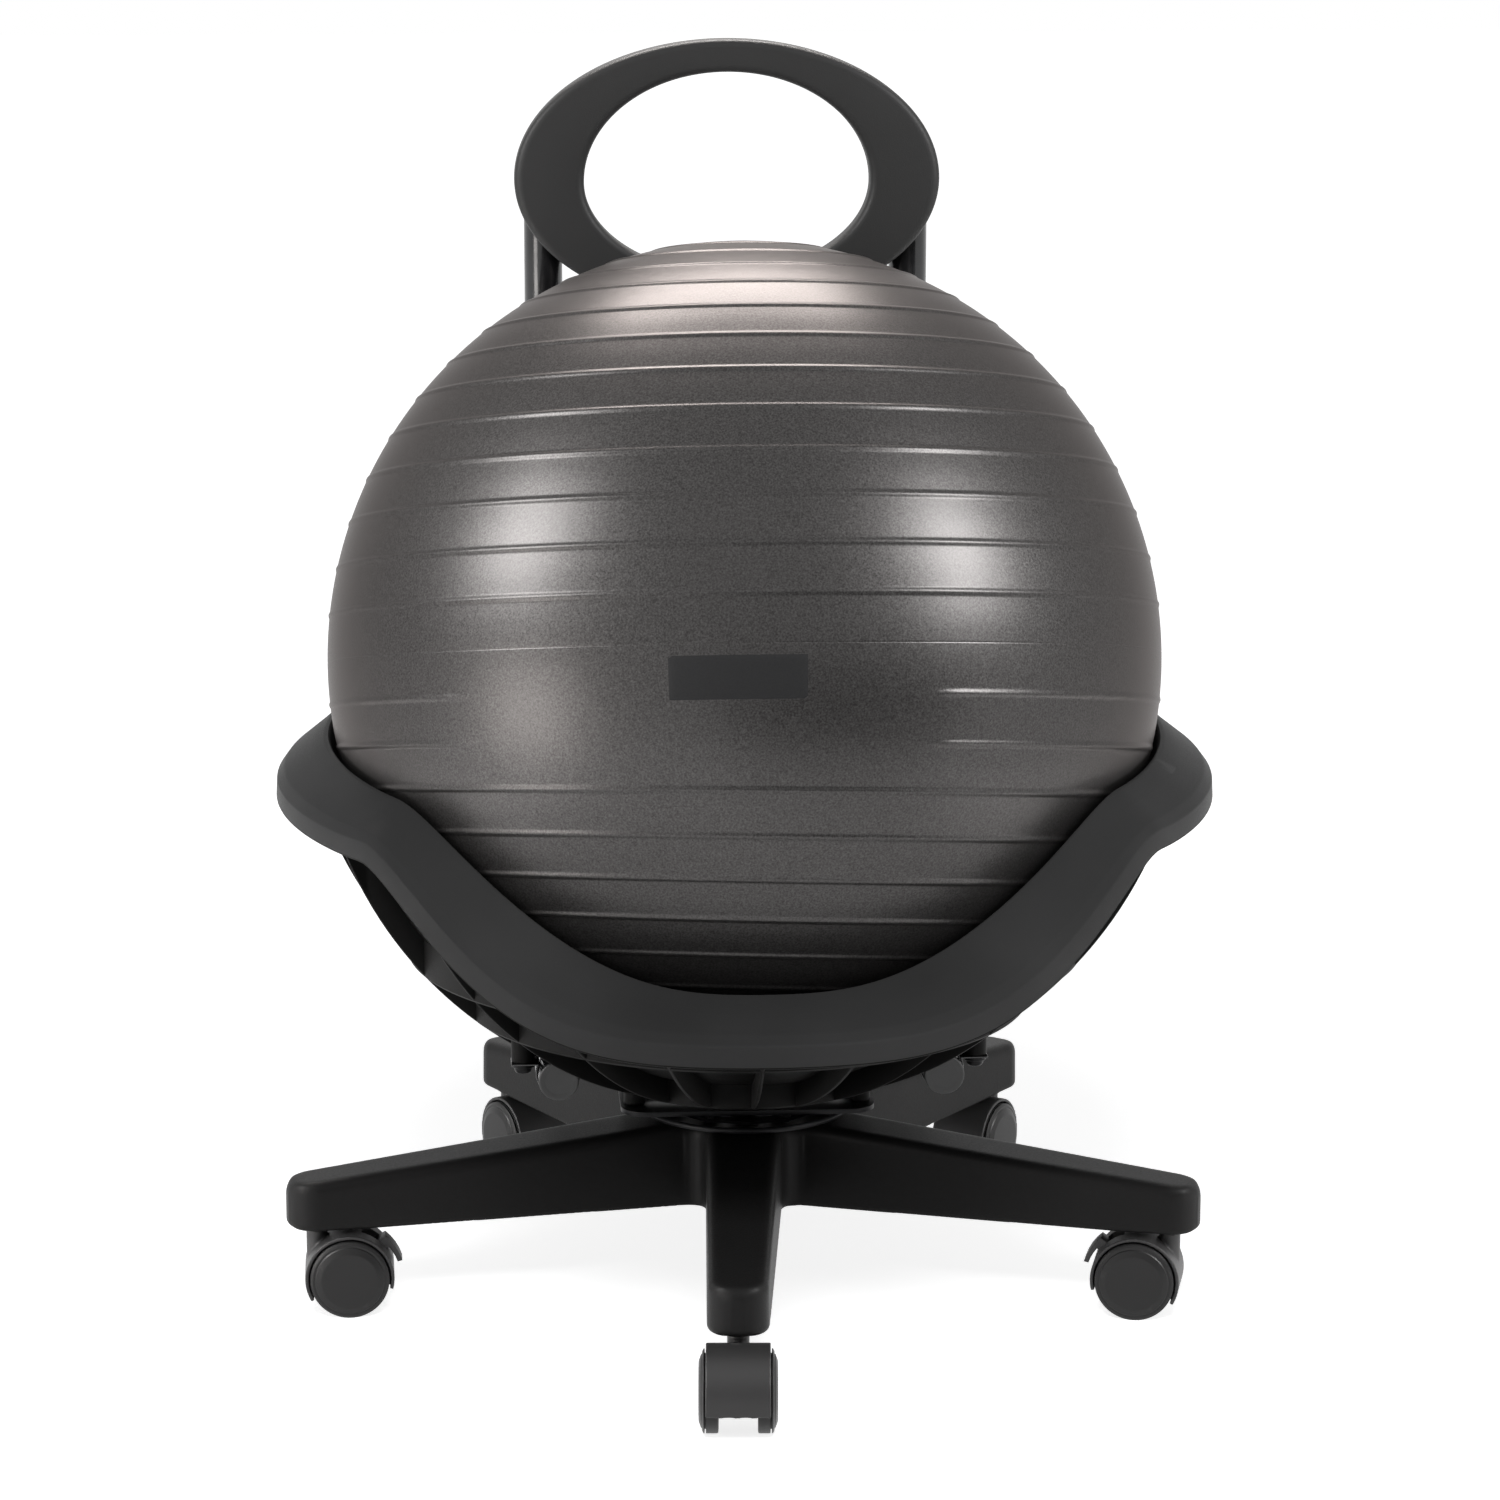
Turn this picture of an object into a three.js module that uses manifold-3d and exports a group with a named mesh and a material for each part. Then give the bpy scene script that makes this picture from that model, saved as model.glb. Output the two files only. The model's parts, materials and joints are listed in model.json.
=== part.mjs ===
// Balance ball chair: an air-filled exercise ball in a saddle-rimmed bowl, on a five-arm caster base,
// with an oval back ring on two bent tubes. Millimetres, +Z up, the sitter faces -Y.
import * as THREE from "three";
import { mergeVertices } from "three/addons/utils/BufferGeometryUtils.js";
import Module from "manifold-3d";

const wasm = await Module();
wasm.setup();

const turn = 2 * Math.PI;
const radians = THREE.MathUtils.degToRad;
const smoothstep = (x) => THREE.MathUtils.smoothstep(x, 0, 1);
const lerp = THREE.MathUtils.lerp;

// Clearances
const seatGap = 0.3;
const overrun = 2;

// Ball
const ballRadius = 260;
const ballWall = 2;
const ballSides = 24;
const ballBands = 12;
const valveRadius = 7;
const valveLength = 9;
const valveFlangeRadius = 9;
const valveFlangeThickness = 1.2;
const valveRecess = 2;
const valveBossRadius = 12;
const valveBossLength = 8;
const valveSeatHeight = ballRadius - valveRecess - valveFlangeThickness;

// Seat bowl, with its rim's heights measured down from the ball's centre
const bowlBallGap = 2.6;
const bowlWall = 4;
const bowlInnerRadius = ballRadius + bowlBallGap;
const bowlOuterRadius = bowlInnerRadius + bowlWall;
const bowlBands = 7;
const ribWall = 3;
const ribDepth = 14.4;
const ribEnvelopeRadius = bowlOuterRadius + ribDepth;
const finCount = 20;
const ribFootSteps = 3;
const bowlSides = 2 * finCount;
const innerRingWallRadius = 88;
const middleRingWallRadius = 178;
const outerRingWallRadius = 211;
const pocketRoofStep = radians(13);
const rimFrontBelow = 160.2;
const rimWingBelow = 53.7;
const rimBackBelow = 28.7;
const rimWingAngle = radians(57);
const rimWingOnset = 1.7;
const rimFrontCreaseRadius = 268;
const rimWingCreaseRadius = 292;
const rimFrontDrop = 15;
const rimWingDrop = 35;
const rimShoulder = 3.6;
const skirtFrontDepth = 13;
const skirtWingDepth = 17;
const skirtFlare = 0.8;
const rimSurfaceShares = [0.4, 0.82];
const rimBulgeShares = [0.3, 1];

// Five-arm base
const armCount = 5;
const baseYaw = radians(-4.2);
const armRootHalfWidth = 25;
const armTipRadius = 20.5;
const armTipCentre = 277;
const armFilletReach = 12;
const hubRadius = 44;
const hubTopHeight = 105;
const hubBottomHeight = 52;
const hubFlatRadius = 52;
const armTipTopHeight = 85.2;
const armTipBottomHeight = 55.6;
const baseWall = 3.4;
const armRibWall = 3;
const armRibCount = 3;
const hubTopWall = 13;
const hubBoltRadius = 3;
const hubBoltCircle = 30;
const hubBoltDepth = 10;

// Casters
const stemCircle = 279;
const stemGripRadius = 5.4;
const stemGripLength = 22;
const stemPinRadius = 3.9;
const stemPinLength = 19;
const stemCollarRadius = 6.2;
const stemCollarHeight = 2;
const wheelRadius = 25;
const wheelSides = 16;
const wheelGap = 22.6;
const casterWidth = 47.4;
const wheelDiscRadius = 22.9;
const wheelDomeHeight = 3;
const casterTrail = 20;
const axleRadius = 3;
const axleInset = 4;
const hoodRadius = 28;
const hoodWall = 2.2;
const hoodWidth = 37.7;
const hoodTrailAngle = radians(-15);
const hoodStemAngle = radians(210);
const hoodWebRadius = 23.4;
const hoodWebGap = 0.8;
const neckRadius = 6.6;
const hoodSteps = 9;
const wheelFlat = wheelRadius * Math.cos(Math.PI / wheelSides);
const casterTurns = [-93.5, 166.5, -122.9, -60.8, 1.5].map(radians);

// Brake levers, on the two front side casters
const brakedCasters = [1, 4];
const leverWidth = 13;
const leverSideGap = 0.5;
const leverPadThickness = 3;
const leverPadGap = 1.2;
const leverPadFlare = 1.4;
const leverPadStart = radians(13);
const leverPadEnd = radians(46);
const leverPivotRadius = 20;
const leverPivotAngle = radians(46);
const leverPinRadius = 2;
const leverPinOverhang = 3;
const leverShank = 4;
const leverSlotStart = radians(31);
const leverSlotEnd = radians(74);
const leverSlotDepth = 13;

// Swivel
const lowerPlateRadius = 67.5;
const lowerPlateWall = 2.5;
const rolledRimRadius = 1.5;
const lowerPlateDish = 4.4;
const lowerPlateFlatRadius = 56;
const upperPlateHalfLength = 80;
const upperPlateHalfWidth = 46;
const upperPlateCorner = 16;
const upperPlateWall = 3;
const raceRadius = 48;
const raceBallRadius = 3;
const raceBallCount = 6;
const cageWidth = 9;
const cageWall = 1.6;
const pivotRadius = 8;
const pivotHeadRadius = 12;
const pivotHeadHeight = 3;
const pivotFootRadius = 12;
const pivotFootHeight = 4;
const plateBoltHeadRadius = 5;
const plateBoltHeadHeight = 3.5;
const bowlScrewX = 71;
const bowlScrewY = 24;
const bowlScrewRadius = 2.6;
const bowlScrewHeadRadius = 4;
const bowlScrewHeadHeight = 2.6;
const bowlScrewLength = 12;
const bowlBossRadius = 7;
const bowlPadFlat = 1;

// Back tubes and their clamps
const tubeRadius = 12.5;
const tubeWall = 1.5;
const tubeHalfSpacing = 119.7;
const tubeRunBelowBall = 250;
const tubeFrontReach = 77;
const tubeBallClearance = 30;
const tubeRearReach = ballRadius + tubeBallClearance;
const tubeBendRadius = 70;
const tubeBendSteps = 5;
const tubeLeanRise = 246.3;
const tubeTopBendRise = 446.3;
const tubeLeanBendRadius = 150;
const tubeLeanBendSteps = 2;
const tubeTopReach = 206.5;
const tubeTopRise = 545.5;
const tubeSides = 12;
const endCapThickness = 3;
const endCapPlugLength = 10;
const clampReach = 50;
const clampWidth = 16;
const clampWall = 1.2;
const clampEarOffset = 21.7;
const clampEarHeight = 4.8;
const clampEarOverhang = 7.5;
const clampToeHeight = 6;
const clampBossRadius = 7.4;
const clampScrewRadius = 2.5;
const clampScrewLength = 14;
const clampFlangeRadius = 7.2;
const clampFlangeHeight = 2;
const clampHeadRadius = 5.6;
const clampHeadHeight = 4;

// Back ring
const ringHalfWidth = 138.4;
const ringUpperHeight = 90.2;
const ringLowerHeight = 86.2;
const ringCentreBelowTubeTop = 15;
const ringHoleHalfWidth = 93.1;
const ringHoleUpperHeight = 70.5;
const ringHoleLowerHeight = 60.4;
const ringHoleDrop = 1.3;
const ringFrontBeforeTube = 26.5;
const ringFrontReach = tubeTopReach - ringFrontBeforeTube;
const ringThickness = 24;
const ringEdge = 6;
const ringBevelSteps = 2;
const ringCurveSteps = 16;
const ringScrewBelowTubeTop = 11.2;
const ringScrewPitch = 30;
const ringScrewRadius = 2.5;
const ringScrewHeadRadius = 5;
const ringScrewHeadHeight = 2.6;
const ringScrewBite = 11;

// Faces of small round pieces
const screwSides = 8;
const boreSides = 8;
const plateSides = 20;
const pinSides = 8;
const clampSides = 24;

// Heights that follow from the stack on the hub
const lowerPlateFoot = hubTopHeight + seatGap;
const lowerPlateTop = lowerPlateFoot + lowerPlateWall;
const raceCentre = lowerPlateTop + seatGap + raceBallRadius;
const upperPlateFoot = raceCentre + raceBallRadius + seatGap;
const upperPlateTop = upperPlateFoot + upperPlateWall;
const bowlPadHeight = upperPlateTop + seatGap;
const ballCentreHeight = bowlPadHeight + ribEnvelopeRadius - bowlPadFlat;
const tubeRunHeight = ballCentreHeight - tubeRunBelowBall;
const tubeTopHeight = tubeRunHeight + tubeTopRise;
const ringCentreHeight = tubeTopHeight - ringCentreBelowTubeTop;
const ringHoleCentreHeight = ringCentreHeight - ringHoleDrop;
const upperRingScrewHeight = tubeTopHeight - ringScrewBelowTubeTop;
const ringScrewHeights = [upperRingScrewHeight - ringScrewPitch, upperRingScrewHeight];

const materials = {
  basePlastic: new THREE.MeshStandardMaterial({ color: 0x1b1b1c, roughness: 0.62 }),
  bowlPlastic: new THREE.MeshStandardMaterial({ color: 0x202021, roughness: 0.5 }),
  ringPlastic: new THREE.MeshStandardMaterial({ color: 0x1a1a1b, roughness: 0.6 }),
  casterPlastic: new THREE.MeshStandardMaterial({ color: 0x242325, roughness: 0.5 }),
  ballVinyl: new THREE.MeshStandardMaterial({ color: 0x35343a, roughness: 0.38, metalness: 0.2 }),
  blackTube: new THREE.MeshStandardMaterial({ color: 0x0d0d0e, roughness: 0.22, metalness: 0.1 }),
  darkSteel: new THREE.MeshStandardMaterial({ color: 0x4a4a4c, roughness: 0.35, metalness: 1 }),
  brightSteel: new THREE.MeshStandardMaterial({ color: 0x9b9b9d, roughness: 0.28, metalness: 1 }),
  capPlastic: new THREE.MeshStandardMaterial({ color: 0x161617, roughness: 0.5 }),
};

// A closed geometry as a solid that can be joined and cut.
function solidOf(geometry) {
  const bare = geometry.clone();
  for (const name of Object.keys(bare.attributes)) {
    if (name !== "position") bare.deleteAttribute(name);
  }
  const merged = mergeVertices(bare, 1e-4);
  return new wasm.Manifold(
    new wasm.Mesh({
      numProp: 3,
      vertProperties: merged.attributes.position.array,
      triVerts: new Uint32Array(merged.index.array),
    }),
  );
}

function geometryOf(solid) {
  const mesh = solid.getMesh();
  const geometry = new THREE.BufferGeometry();
  geometry.setAttribute("position", new THREE.BufferAttribute(mesh.vertProperties, mesh.numProp));
  geometry.setIndex(new THREE.BufferAttribute(mesh.triVerts, 1));
  geometry.computeVertexNormals();
  return geometry;
}

function join(...geometries) {
  const solids = geometries.map(solidOf);
  return geometryOf(solids.reduce((whole, next) => whole.add(next)));
}

function cut(geometry, ...tools) {
  const start = solidOf(geometry);
  return geometryOf(tools.map(solidOf).reduce((whole, next) => whole.subtract(next), start));
}

// A profile of [radius, height] points, from its lower end on the axis to its upper one, turned about Z.
// The first of its sides starts at the angle "start", measured from -Y towards +X.
function revolve(profile, sides, start = 0) {
  const points = profile.map(([radius, height]) => new THREE.Vector2(radius, height));
  return new THREE.LatheGeometry(points, sides, start, turn).rotateX(Math.PI / 2);
}

function outline(points) {
  return new THREE.Shape(points.map(([x, y]) => new THREE.Vector2(x, y)));
}

function extrude(shape, depth, curveSegments = screwSides / 2) {
  return new THREE.ExtrudeGeometry(shape, { depth, curveSegments, bevelEnabled: false });
}

// A rod along Z from one height to another.
function rod(radius, low, high, sides = boreSides) {
  return revolve([[0, low], [radius, low], [radius, high], [0, high]], sides);
}

// A hole's radius over its corners, so that its flats clear a pin of the given radius.
const boreRadius = (pin, sides) => (pin + seatGap) / Math.cos(Math.PI / sides);

const bore = (pin, low, high, sides = boreSides) => rod(boreRadius(pin, sides), low, high, sides);

// Moves each vertex to the place that the rule gives for it.
function reshape(geometry, rule) {
  const position = geometry.attributes.position;
  const point = new THREE.Vector3();
  for (let i = 0; i < position.count; i += 1) {
    point.fromBufferAttribute(position, i);
    rule(point, i);
    position.setXYZ(i, point.x, point.y, point.z);
  }
  return geometry;
}

const onSphere = (radius, angle) => [
  radius * Math.sin(angle),
  ballCentreHeight - radius * Math.cos(angle),
];

// Height of a sphere round the ball's centre, at a distance from the axis, on its lower half.
const sphereHeight = (radius, reach) => ballCentreHeight - Math.sqrt(radius ** 2 - reach ** 2);

// The rim's section at an azimuth from the front: the wings rise at the sides and the back.
function rimAt(azimuth) {
  const away = Math.abs(Math.atan2(Math.sin(azimuth), Math.cos(azimuth)));
  const wing = smoothstep((away / rimWingAngle) ** rimWingOnset);
  const rear = Math.max(0, (away - rimWingAngle) / (Math.PI - rimWingAngle));
  const below =
    lerp(rimFrontBelow, rimWingBelow, wing) - (rimWingBelow - rimBackBelow) * (1 - (1 - rear) ** 2);
  const height = ballCentreHeight - below;
  const side = smoothstep(away / (Math.PI / 2));
  const angle = Math.acos(below / bowlInnerRadius);
  const inner = onSphere(bowlInnerRadius, angle);
  const crease = [
    lerp(rimFrontCreaseRadius, rimWingCreaseRadius, wing),
    height - lerp(rimFrontDrop, rimWingDrop, side),
  ];
  const skirt = [crease[0] + skirtFlare, crease[1] - lerp(skirtFrontDepth, skirtWingDepth, side)];
  return { angle, inner, crease, skirt };
}

// The rim's upper surface, lowered square to its chord by a depth below the surface.
function rimSurface(rim, depth) {
  const chord = new THREE.Vector2(rim.crease[0] - rim.inner[0], rim.crease[1] - rim.inner[1]);
  const up = new THREE.Vector2(-chord.y, chord.x).normalize();
  return rimSurfaceShares.map((share, i) => {
    const lift = rimShoulder * rimBulgeShares[i] - depth;
    return [
      lerp(rim.inner[0], rim.crease[0], share) + up.x * lift,
      lerp(rim.inner[1], rim.crease[1], share) + up.y * lift,
    ];
  });
}

// The line that the bowl's wall follows at an azimuth, at a depth below its inner face.
function bowlLine(azimuth, depth) {
  const rim = rimAt(azimuth);
  const radius = bowlInnerRadius + depth;
  const end = rim.angle - depth / radius;
  const line = [];
  for (let i = 0; i <= bowlBands; i += 1) line.push(onSphere(radius, (end * i) / bowlBands));
  line.push(...rimSurface(rim, depth));
  line.push([rim.crease[0] - depth, rim.crease[1] - depth / 2]);
  line.push([rim.skirt[0] - depth, rim.skirt[1]]);
  return line;
}

// The section of the moulding before its pockets are cut, from the lower pole round the rim to the upper one:
// the bare bowl in the middle, the ribs' common envelope round it, then the skirt, the rim and the inside.
function blankSection(azimuth) {
  const { crease, skirt } = rimAt(azimuth);
  const ribFootHeight = skirt[1] + ribWall / 2;
  const well = innerRingWallRadius - ribWall / 2;
  const envelopeReach = Math.sqrt(ribEnvelopeRadius ** 2 - (ballCentreHeight - ribFootHeight) ** 2);
  const line = [0, well / 2, well].map((reach) => [reach, sphereHeight(bowlOuterRadius, reach)]);
  for (let i = 0; i <= ribFootSteps; i += 1) {
    const reach = lerp(well, envelopeReach, i / ribFootSteps);
    line.push([reach, sphereHeight(ribEnvelopeRadius, reach)]);
  }
  const skirtInside = crease[0] - bowlWall;
  line.push([skirtInside, ribFootHeight], [skirtInside, skirt[1]]);
  return [...line, ...bowlLine(azimuth, 0).reverse()];
}

function heightOn(line, reach) {
  const after = line.findIndex(([radius]) => radius >= reach);
  const [a, b] = [line[after - 1], line[after]];
  return lerp(a[1], b[1], (reach - a[0]) / (b[0] - a[0]));
}

const outerAngle = (reach) => Math.asin(reach / bowlOuterRadius);

function outerArc(from, to, spans) {
  return Array.from({ length: spans + 1 }, (_, i) => onSphere(bowlOuterRadius, lerp(from, to, i / spans)));
}

// The roof of the pockets between two ring walls, on the bowl's round part.
function roundRoof(near, far) {
  const [from, to] = [outerAngle(near), outerAngle(far)];
  const line = outerArc(from, to, Math.ceil((to - from) / pocketRoofStep));
  return () => line;
}

// The roof of the outermost pockets, which goes on under the rim as far as the skirt.
function rimRoof(near, middle) {
  const from = outerAngle(near);
  const arcEnd = (azimuth) => rimAt(azimuth).angle - bowlWall / bowlOuterRadius;
  const spans = Math.max(0, Math.ceil((arcEnd(middle) - from) / pocketRoofStep));
  return (azimuth) => {
    const line = bowlLine(azimuth, bowlWall);
    const underRim = line.slice(-rimSurfaceShares.length - 2, -1);
    if (spans === 0) return [[near, heightOn(line, near)], ...underRim];
    return [...outerArc(from, arcEnd(azimuth), spans), ...underRim];
  };
}

// The hollow between two fins, open below. Its roof is drawn at both fins' azimuths and midway between them,
// and its sides stand half a wall off the fins' middle planes.
function pocket(middle, roof) {
  const step = turn / bowlSides;
  const lineAt = (azimuth) =>
    roof(azimuth).map(([reach, height]) => {
      return new THREE.Vector3(reach * Math.sin(azimuth), -reach * Math.cos(azimuth), height);
    });
  const centre = lineAt(middle);
  const beside = (side) =>
    lineAt(middle + side * step).map((point, i) => {
      const reach = Math.hypot(centre[i].x, centre[i].y);
      return point.lerp(centre[i], ribWall / 2 / (reach * Math.sin(step)));
    });
  const lines = [beside(-1), centre, beside(1)];
  const spans = centre.length - 1;
  const across = lines.length - 1;
  return reshape(new THREE.BoxGeometry(1, 1, 1, spans, across), (point) => {
    const roofPoint = lines[Math.round((point.y + 1 / 2) * across)][Math.round((point.x + 1 / 2) * spans)];
    point.set(roofPoint.x, roofPoint.y, point.z > 0 ? roofPoint.z : hubTopHeight);
  });
}

function bowlPockets() {
  const half = ribWall / 2;
  const rings = [innerRingWallRadius, middleRingWallRadius, outerRingWallRadius];
  const roofs = [0, 1].map((i) => roundRoof(rings[i] + half, rings[i + 1] - half));
  const pockets = [];
  for (let i = 0; i < finCount; i += 1) {
    const middle = (turn * (i + 1 / 2)) / finCount;
    [...roofs, rimRoof(outerRingWallRadius + half, middle)].forEach((roof) => pockets.push(pocket(middle, roof)));
  }
  return pockets;
}

// A round boss from its foot up into the bowl's wall.
function bowlBoss(radius, x, y, foot) {
  const boss = rod(radius, foot, ballCentreHeight, pinSides).translate(x, y, 0);
  return reshape(boss, (point) => {
    if (point.z < (foot + ballCentreHeight) / 2) return;
    point.z = sphereHeight(bowlInnerRadius + bowlWall / 2, Math.hypot(point.x, point.y));
  });
}

const sides = [-1, 1];
const clampPlaces = sides.flatMap((side) => sides.map((end) => ({ side, end })));
const bowlScrewPlaces = clampPlaces.map(({ side, end }) => [side * bowlScrewX, end * bowlScrewY]);
const clampBossFoot = tubeRunHeight + clampEarHeight + clampWall + seatGap;

// The room for a clamp strap in the fins.
function clampNotch(side, end) {
  const toeReach = boreRadius(tubeRadius, clampSides) + clampWall + seatGap;
  const earReach = clampEarOffset + clampEarOverhang + seatGap;
  const height = clampBossFoot - tubeRunHeight + 2 * tubeRadius;
  const x = side * (tubeHalfSpacing + (earReach - toeReach) / 2);
  const notch = new THREE.BoxGeometry(toeReach + earReach, clampWidth + 2 * seatGap, height);
  return notch.translate(x, end * clampReach, clampBossFoot - height / 2);
}

function seatBowl() {
  const sectionLength = blankSection(0).length;
  const ladder = Array.from({ length: sectionLength }, (_, i) => [1, i]);
  const blank = reshape(revolve(ladder, bowlSides), (point, i) => {
    const azimuth = (turn * Math.floor(i / sectionLength)) / bowlSides;
    const [reach, height] = blankSection(azimuth)[i % sectionLength];
    point.set(reach * Math.sin(azimuth), -reach * Math.cos(azimuth), height);
  });
  const bosses = [];
  const tools = [];
  bowlScrewPlaces.forEach(([x, y]) => {
    bosses.push(bowlBoss(bowlBossRadius, x, y, bowlPadHeight));
    const hole = bore(bowlScrewRadius, bowlPadHeight - overrun, bowlPadHeight + bowlScrewLength, screwSides);
    tools.push(hole.translate(x, y, 0));
  });
  clampPlaces.forEach(({ side, end }) => {
    const x = side * (tubeHalfSpacing + clampEarOffset);
    bosses.push(bowlBoss(clampBossRadius, x, end * clampReach, clampBossFoot));
    const hole = bore(clampScrewRadius, clampBossFoot - overrun, clampBossFoot + clampScrewLength);
    tools.push(hole.translate(x, end * clampReach, 0), clampNotch(side, end));
  });
  sides.forEach((side) => {
    const reach = middleRingWallRadius;
    const cradle = bore(tubeRadius, -reach, reach, tubeSides).rotateX(Math.PI / 2);
    tools.push(cradle.translate(side * tubeHalfSpacing, 0, tubeRunHeight));
  });
  return cut(join(cut(blank, ...bowlPockets()), ...bosses), ...tools);
}

// Height of the base's top and bottom faces at a distance from the axis.
const armTop = (reach) =>
  lerp(hubTopHeight, armTipTopHeight, Math.max(0, reach - hubFlatRadius) / armTipSpan);
const armBottom = (reach) =>
  lerp(hubBottomHeight, armTipBottomHeight, Math.max(0, reach - hubFlatRadius) / armTipSpan);
const armTipSpan = armTipCentre + armTipRadius - hubFlatRadius;
const armHalfWidth = (reach) => lerp(armRootHalfWidth, armTipRadius, reach / armTipCentre);

// The plan of the star, arm by arm, with rounded tips and a fillet between neighbours.
function starPlan() {
  const step = turn / armCount;
  const plan = new THREE.Shape();
  const at = (angle, along, across) => [
    along * Math.cos(angle) - across * Math.sin(angle),
    along * Math.sin(angle) + across * Math.cos(angle),
  ];
  const forkReach = armRootHalfWidth / Math.sin(step / 2);
  const filletStart = armRootHalfWidth / Math.tan(step / 2) + armFilletReach;
  for (let i = 0; i < armCount; i += 1) {
    const angle = step * i;
    const [x, y] = at(angle, filletStart, -armHalfWidth(filletStart));
    if (i === 0) plan.moveTo(x, y);
    plan.lineTo(...at(angle, armTipCentre, -armTipRadius));
    const [cx, cy] = at(angle, armTipCentre, 0);
    plan.absarc(cx, cy, armTipRadius, angle - Math.PI / 2, angle + Math.PI / 2, false);
    plan.lineTo(...at(angle, filletStart, armHalfWidth(filletStart)));
    const fork = at(angle + step / 2, forkReach, 0);
    const next = at(angle + step, filletStart, -armHalfWidth(filletStart));
    plan.quadraticCurveTo(fork[0], fork[1], next[0], next[1]);
  }
  return plan;
}

// One cell of an arm's hollow underside, between two cross ribs.
function armCell(near, far) {
  const cell = outline([
    [near, -armHalfWidth(near) + baseWall],
    [far, -armHalfWidth(far) + baseWall],
    [far, armHalfWidth(far) - baseWall],
    [near, armHalfWidth(near) - baseWall],
  ]);
  const prism = extrude(cell, hubTopHeight);
  return reshape(prism, (point) => {
    if (point.z > 0) point.z = armTop(point.x) - baseWall;
  });
}

function starBase() {
  const plan = extrude(starPlan(), hubTopHeight);
  const outerReach = armTipCentre + armTipRadius + overrun;
  const facets = armCount * 4;
  const facetShare = 1 / Math.cos(Math.PI / facets);
  const cone = [
    [0, hubBottomHeight],
    [hubFlatRadius * facetShare, armBottom(hubFlatRadius)],
    [outerReach * facetShare, armBottom(outerReach)],
    [outerReach * facetShare, armTop(outerReach)],
    [hubFlatRadius * facetShare, armTop(hubFlatRadius)],
    [0, hubTopHeight],
  ];
  const body = geometryOf(
    solidOf(plan).intersect(solidOf(revolve(cone, facets, Math.PI / 2 + Math.PI / facets))),
  );
  const tools = [];
  const firstCell = hubRadius + armRibWall;
  const lastCell = stemCircle - stemGripRadius - 2 * baseWall;
  const pitch = (lastCell - firstCell + armRibWall) / (armRibCount + 1);
  for (let i = 0; i < armCount; i += 1) {
    const angle = (turn * i) / armCount;
    for (let j = 0; j <= armRibCount; j += 1) {
      const near = firstCell + pitch * j;
      tools.push(armCell(near, near + pitch - armRibWall).rotateZ(angle));
    }
    const socket = bore(stemGripRadius, 0, stemSocketTop());
    tools.push(socket.translate(stemCircle, 0, 0).rotateZ(angle));
  }
  tools.push(rod(hubRadius - 2 * baseWall, 0, hubTopHeight - hubTopWall, 2 * boreSides));
  const wellFloor = hubTopHeight - pivotFootHeight - seatGap;
  tools.push(bore(pivotFootRadius, wellFloor, hubTopHeight + overrun, 2 * boreSides));
  boltPlaces().forEach(([x, y]) => {
    const hole = bore(hubBoltRadius, hubTopHeight - hubBoltDepth - seatGap, hubTopHeight + overrun);
    tools.push(hole.translate(x, y, 0));
  });
  return cut(join(body, rod(hubRadius, hubBottomHeight, hubTopHeight, facets)), ...tools);
}

function stemSocketTop() {
  return armBottom(stemCircle) + stemGripLength + 2 * seatGap;
}

function boltPlaces() {
  return [1, 3, 5, 7].map((eighth) => {
    const angle = (turn * eighth) / 8;
    return [hubBoltCircle * Math.cos(angle), hubBoltCircle * Math.sin(angle)];
  });
}

// Casters are drawn with the stem on Z and the wheels trailing along +X.
const neckTop = armBottom(stemCircle) - seatGap - stemCollarHeight - seatGap;
const stemFoot = neckTop - stemPinLength;
const wheelInner = wheelGap / 2;
const wheelOuter = casterWidth / 2;

function casterStem() {
  const collarFoot = neckTop + seatGap;
  const collarTop = collarFoot + stemCollarHeight;
  return revolve(
    [
      [0, stemFoot + seatGap],
      [stemPinRadius, stemFoot + seatGap],
      [stemPinRadius, collarFoot],
      [stemCollarRadius, collarFoot],
      [stemCollarRadius, collarTop],
      [stemGripRadius, collarTop],
      [stemGripRadius, collarTop + stemGripLength],
      [0, collarTop + stemGripLength],
    ],
    pinSides,
  );
}

// Turns a piece that was drawn along Z to lie along the axle, at the axle's place.
function toAxle(geometry) {
  return geometry.rotateX(-Math.PI / 2).translate(casterTrail, 0, wheelFlat);
}

function casterAxle() {
  const half = wheelOuter - axleInset;
  return toAxle(rod(axleRadius, -half, half, screwSides));
}

function casterWheel(side) {
  const edge = wheelOuter - wheelDomeHeight;
  const boreDepth = wheelOuter - axleInset + seatGap;
  const chamfer = wheelRadius - wheelDiscRadius;
  const axleBore = boreRadius(axleRadius, wheelSides);
  const profile = [
    [0, boreDepth],
    [axleBore, boreDepth],
    [axleBore, wheelInner],
    [wheelRadius, wheelInner],
    [wheelRadius, edge - chamfer / 2],
    [wheelDiscRadius, edge + chamfer / 4],
    [wheelDiscRadius / 2, wheelOuter - wheelDomeHeight / 4],
    [0, wheelOuter],
  ];
  const wheel = revolve(profile, wheelSides, Math.PI / wheelSides);
  if (side < 0) wheel.rotateX(Math.PI);
  return toAxle(wheel);
}

// A sector between two radii round the axle, in the caster's side view.
function sector(inner, outer, from, to, steps) {
  const points = [];
  for (let i = 0; i <= steps; i += 1) {
    const angle = lerp(from, to, i / steps);
    points.push([outer * Math.cos(angle), outer * Math.sin(angle)]);
  }
  for (let i = steps; i >= 0; i -= 1) {
    const angle = lerp(from, to, i / steps);
    points.push([inner * Math.cos(angle), inner * Math.sin(angle)]);
  }
  return points;
}

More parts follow.
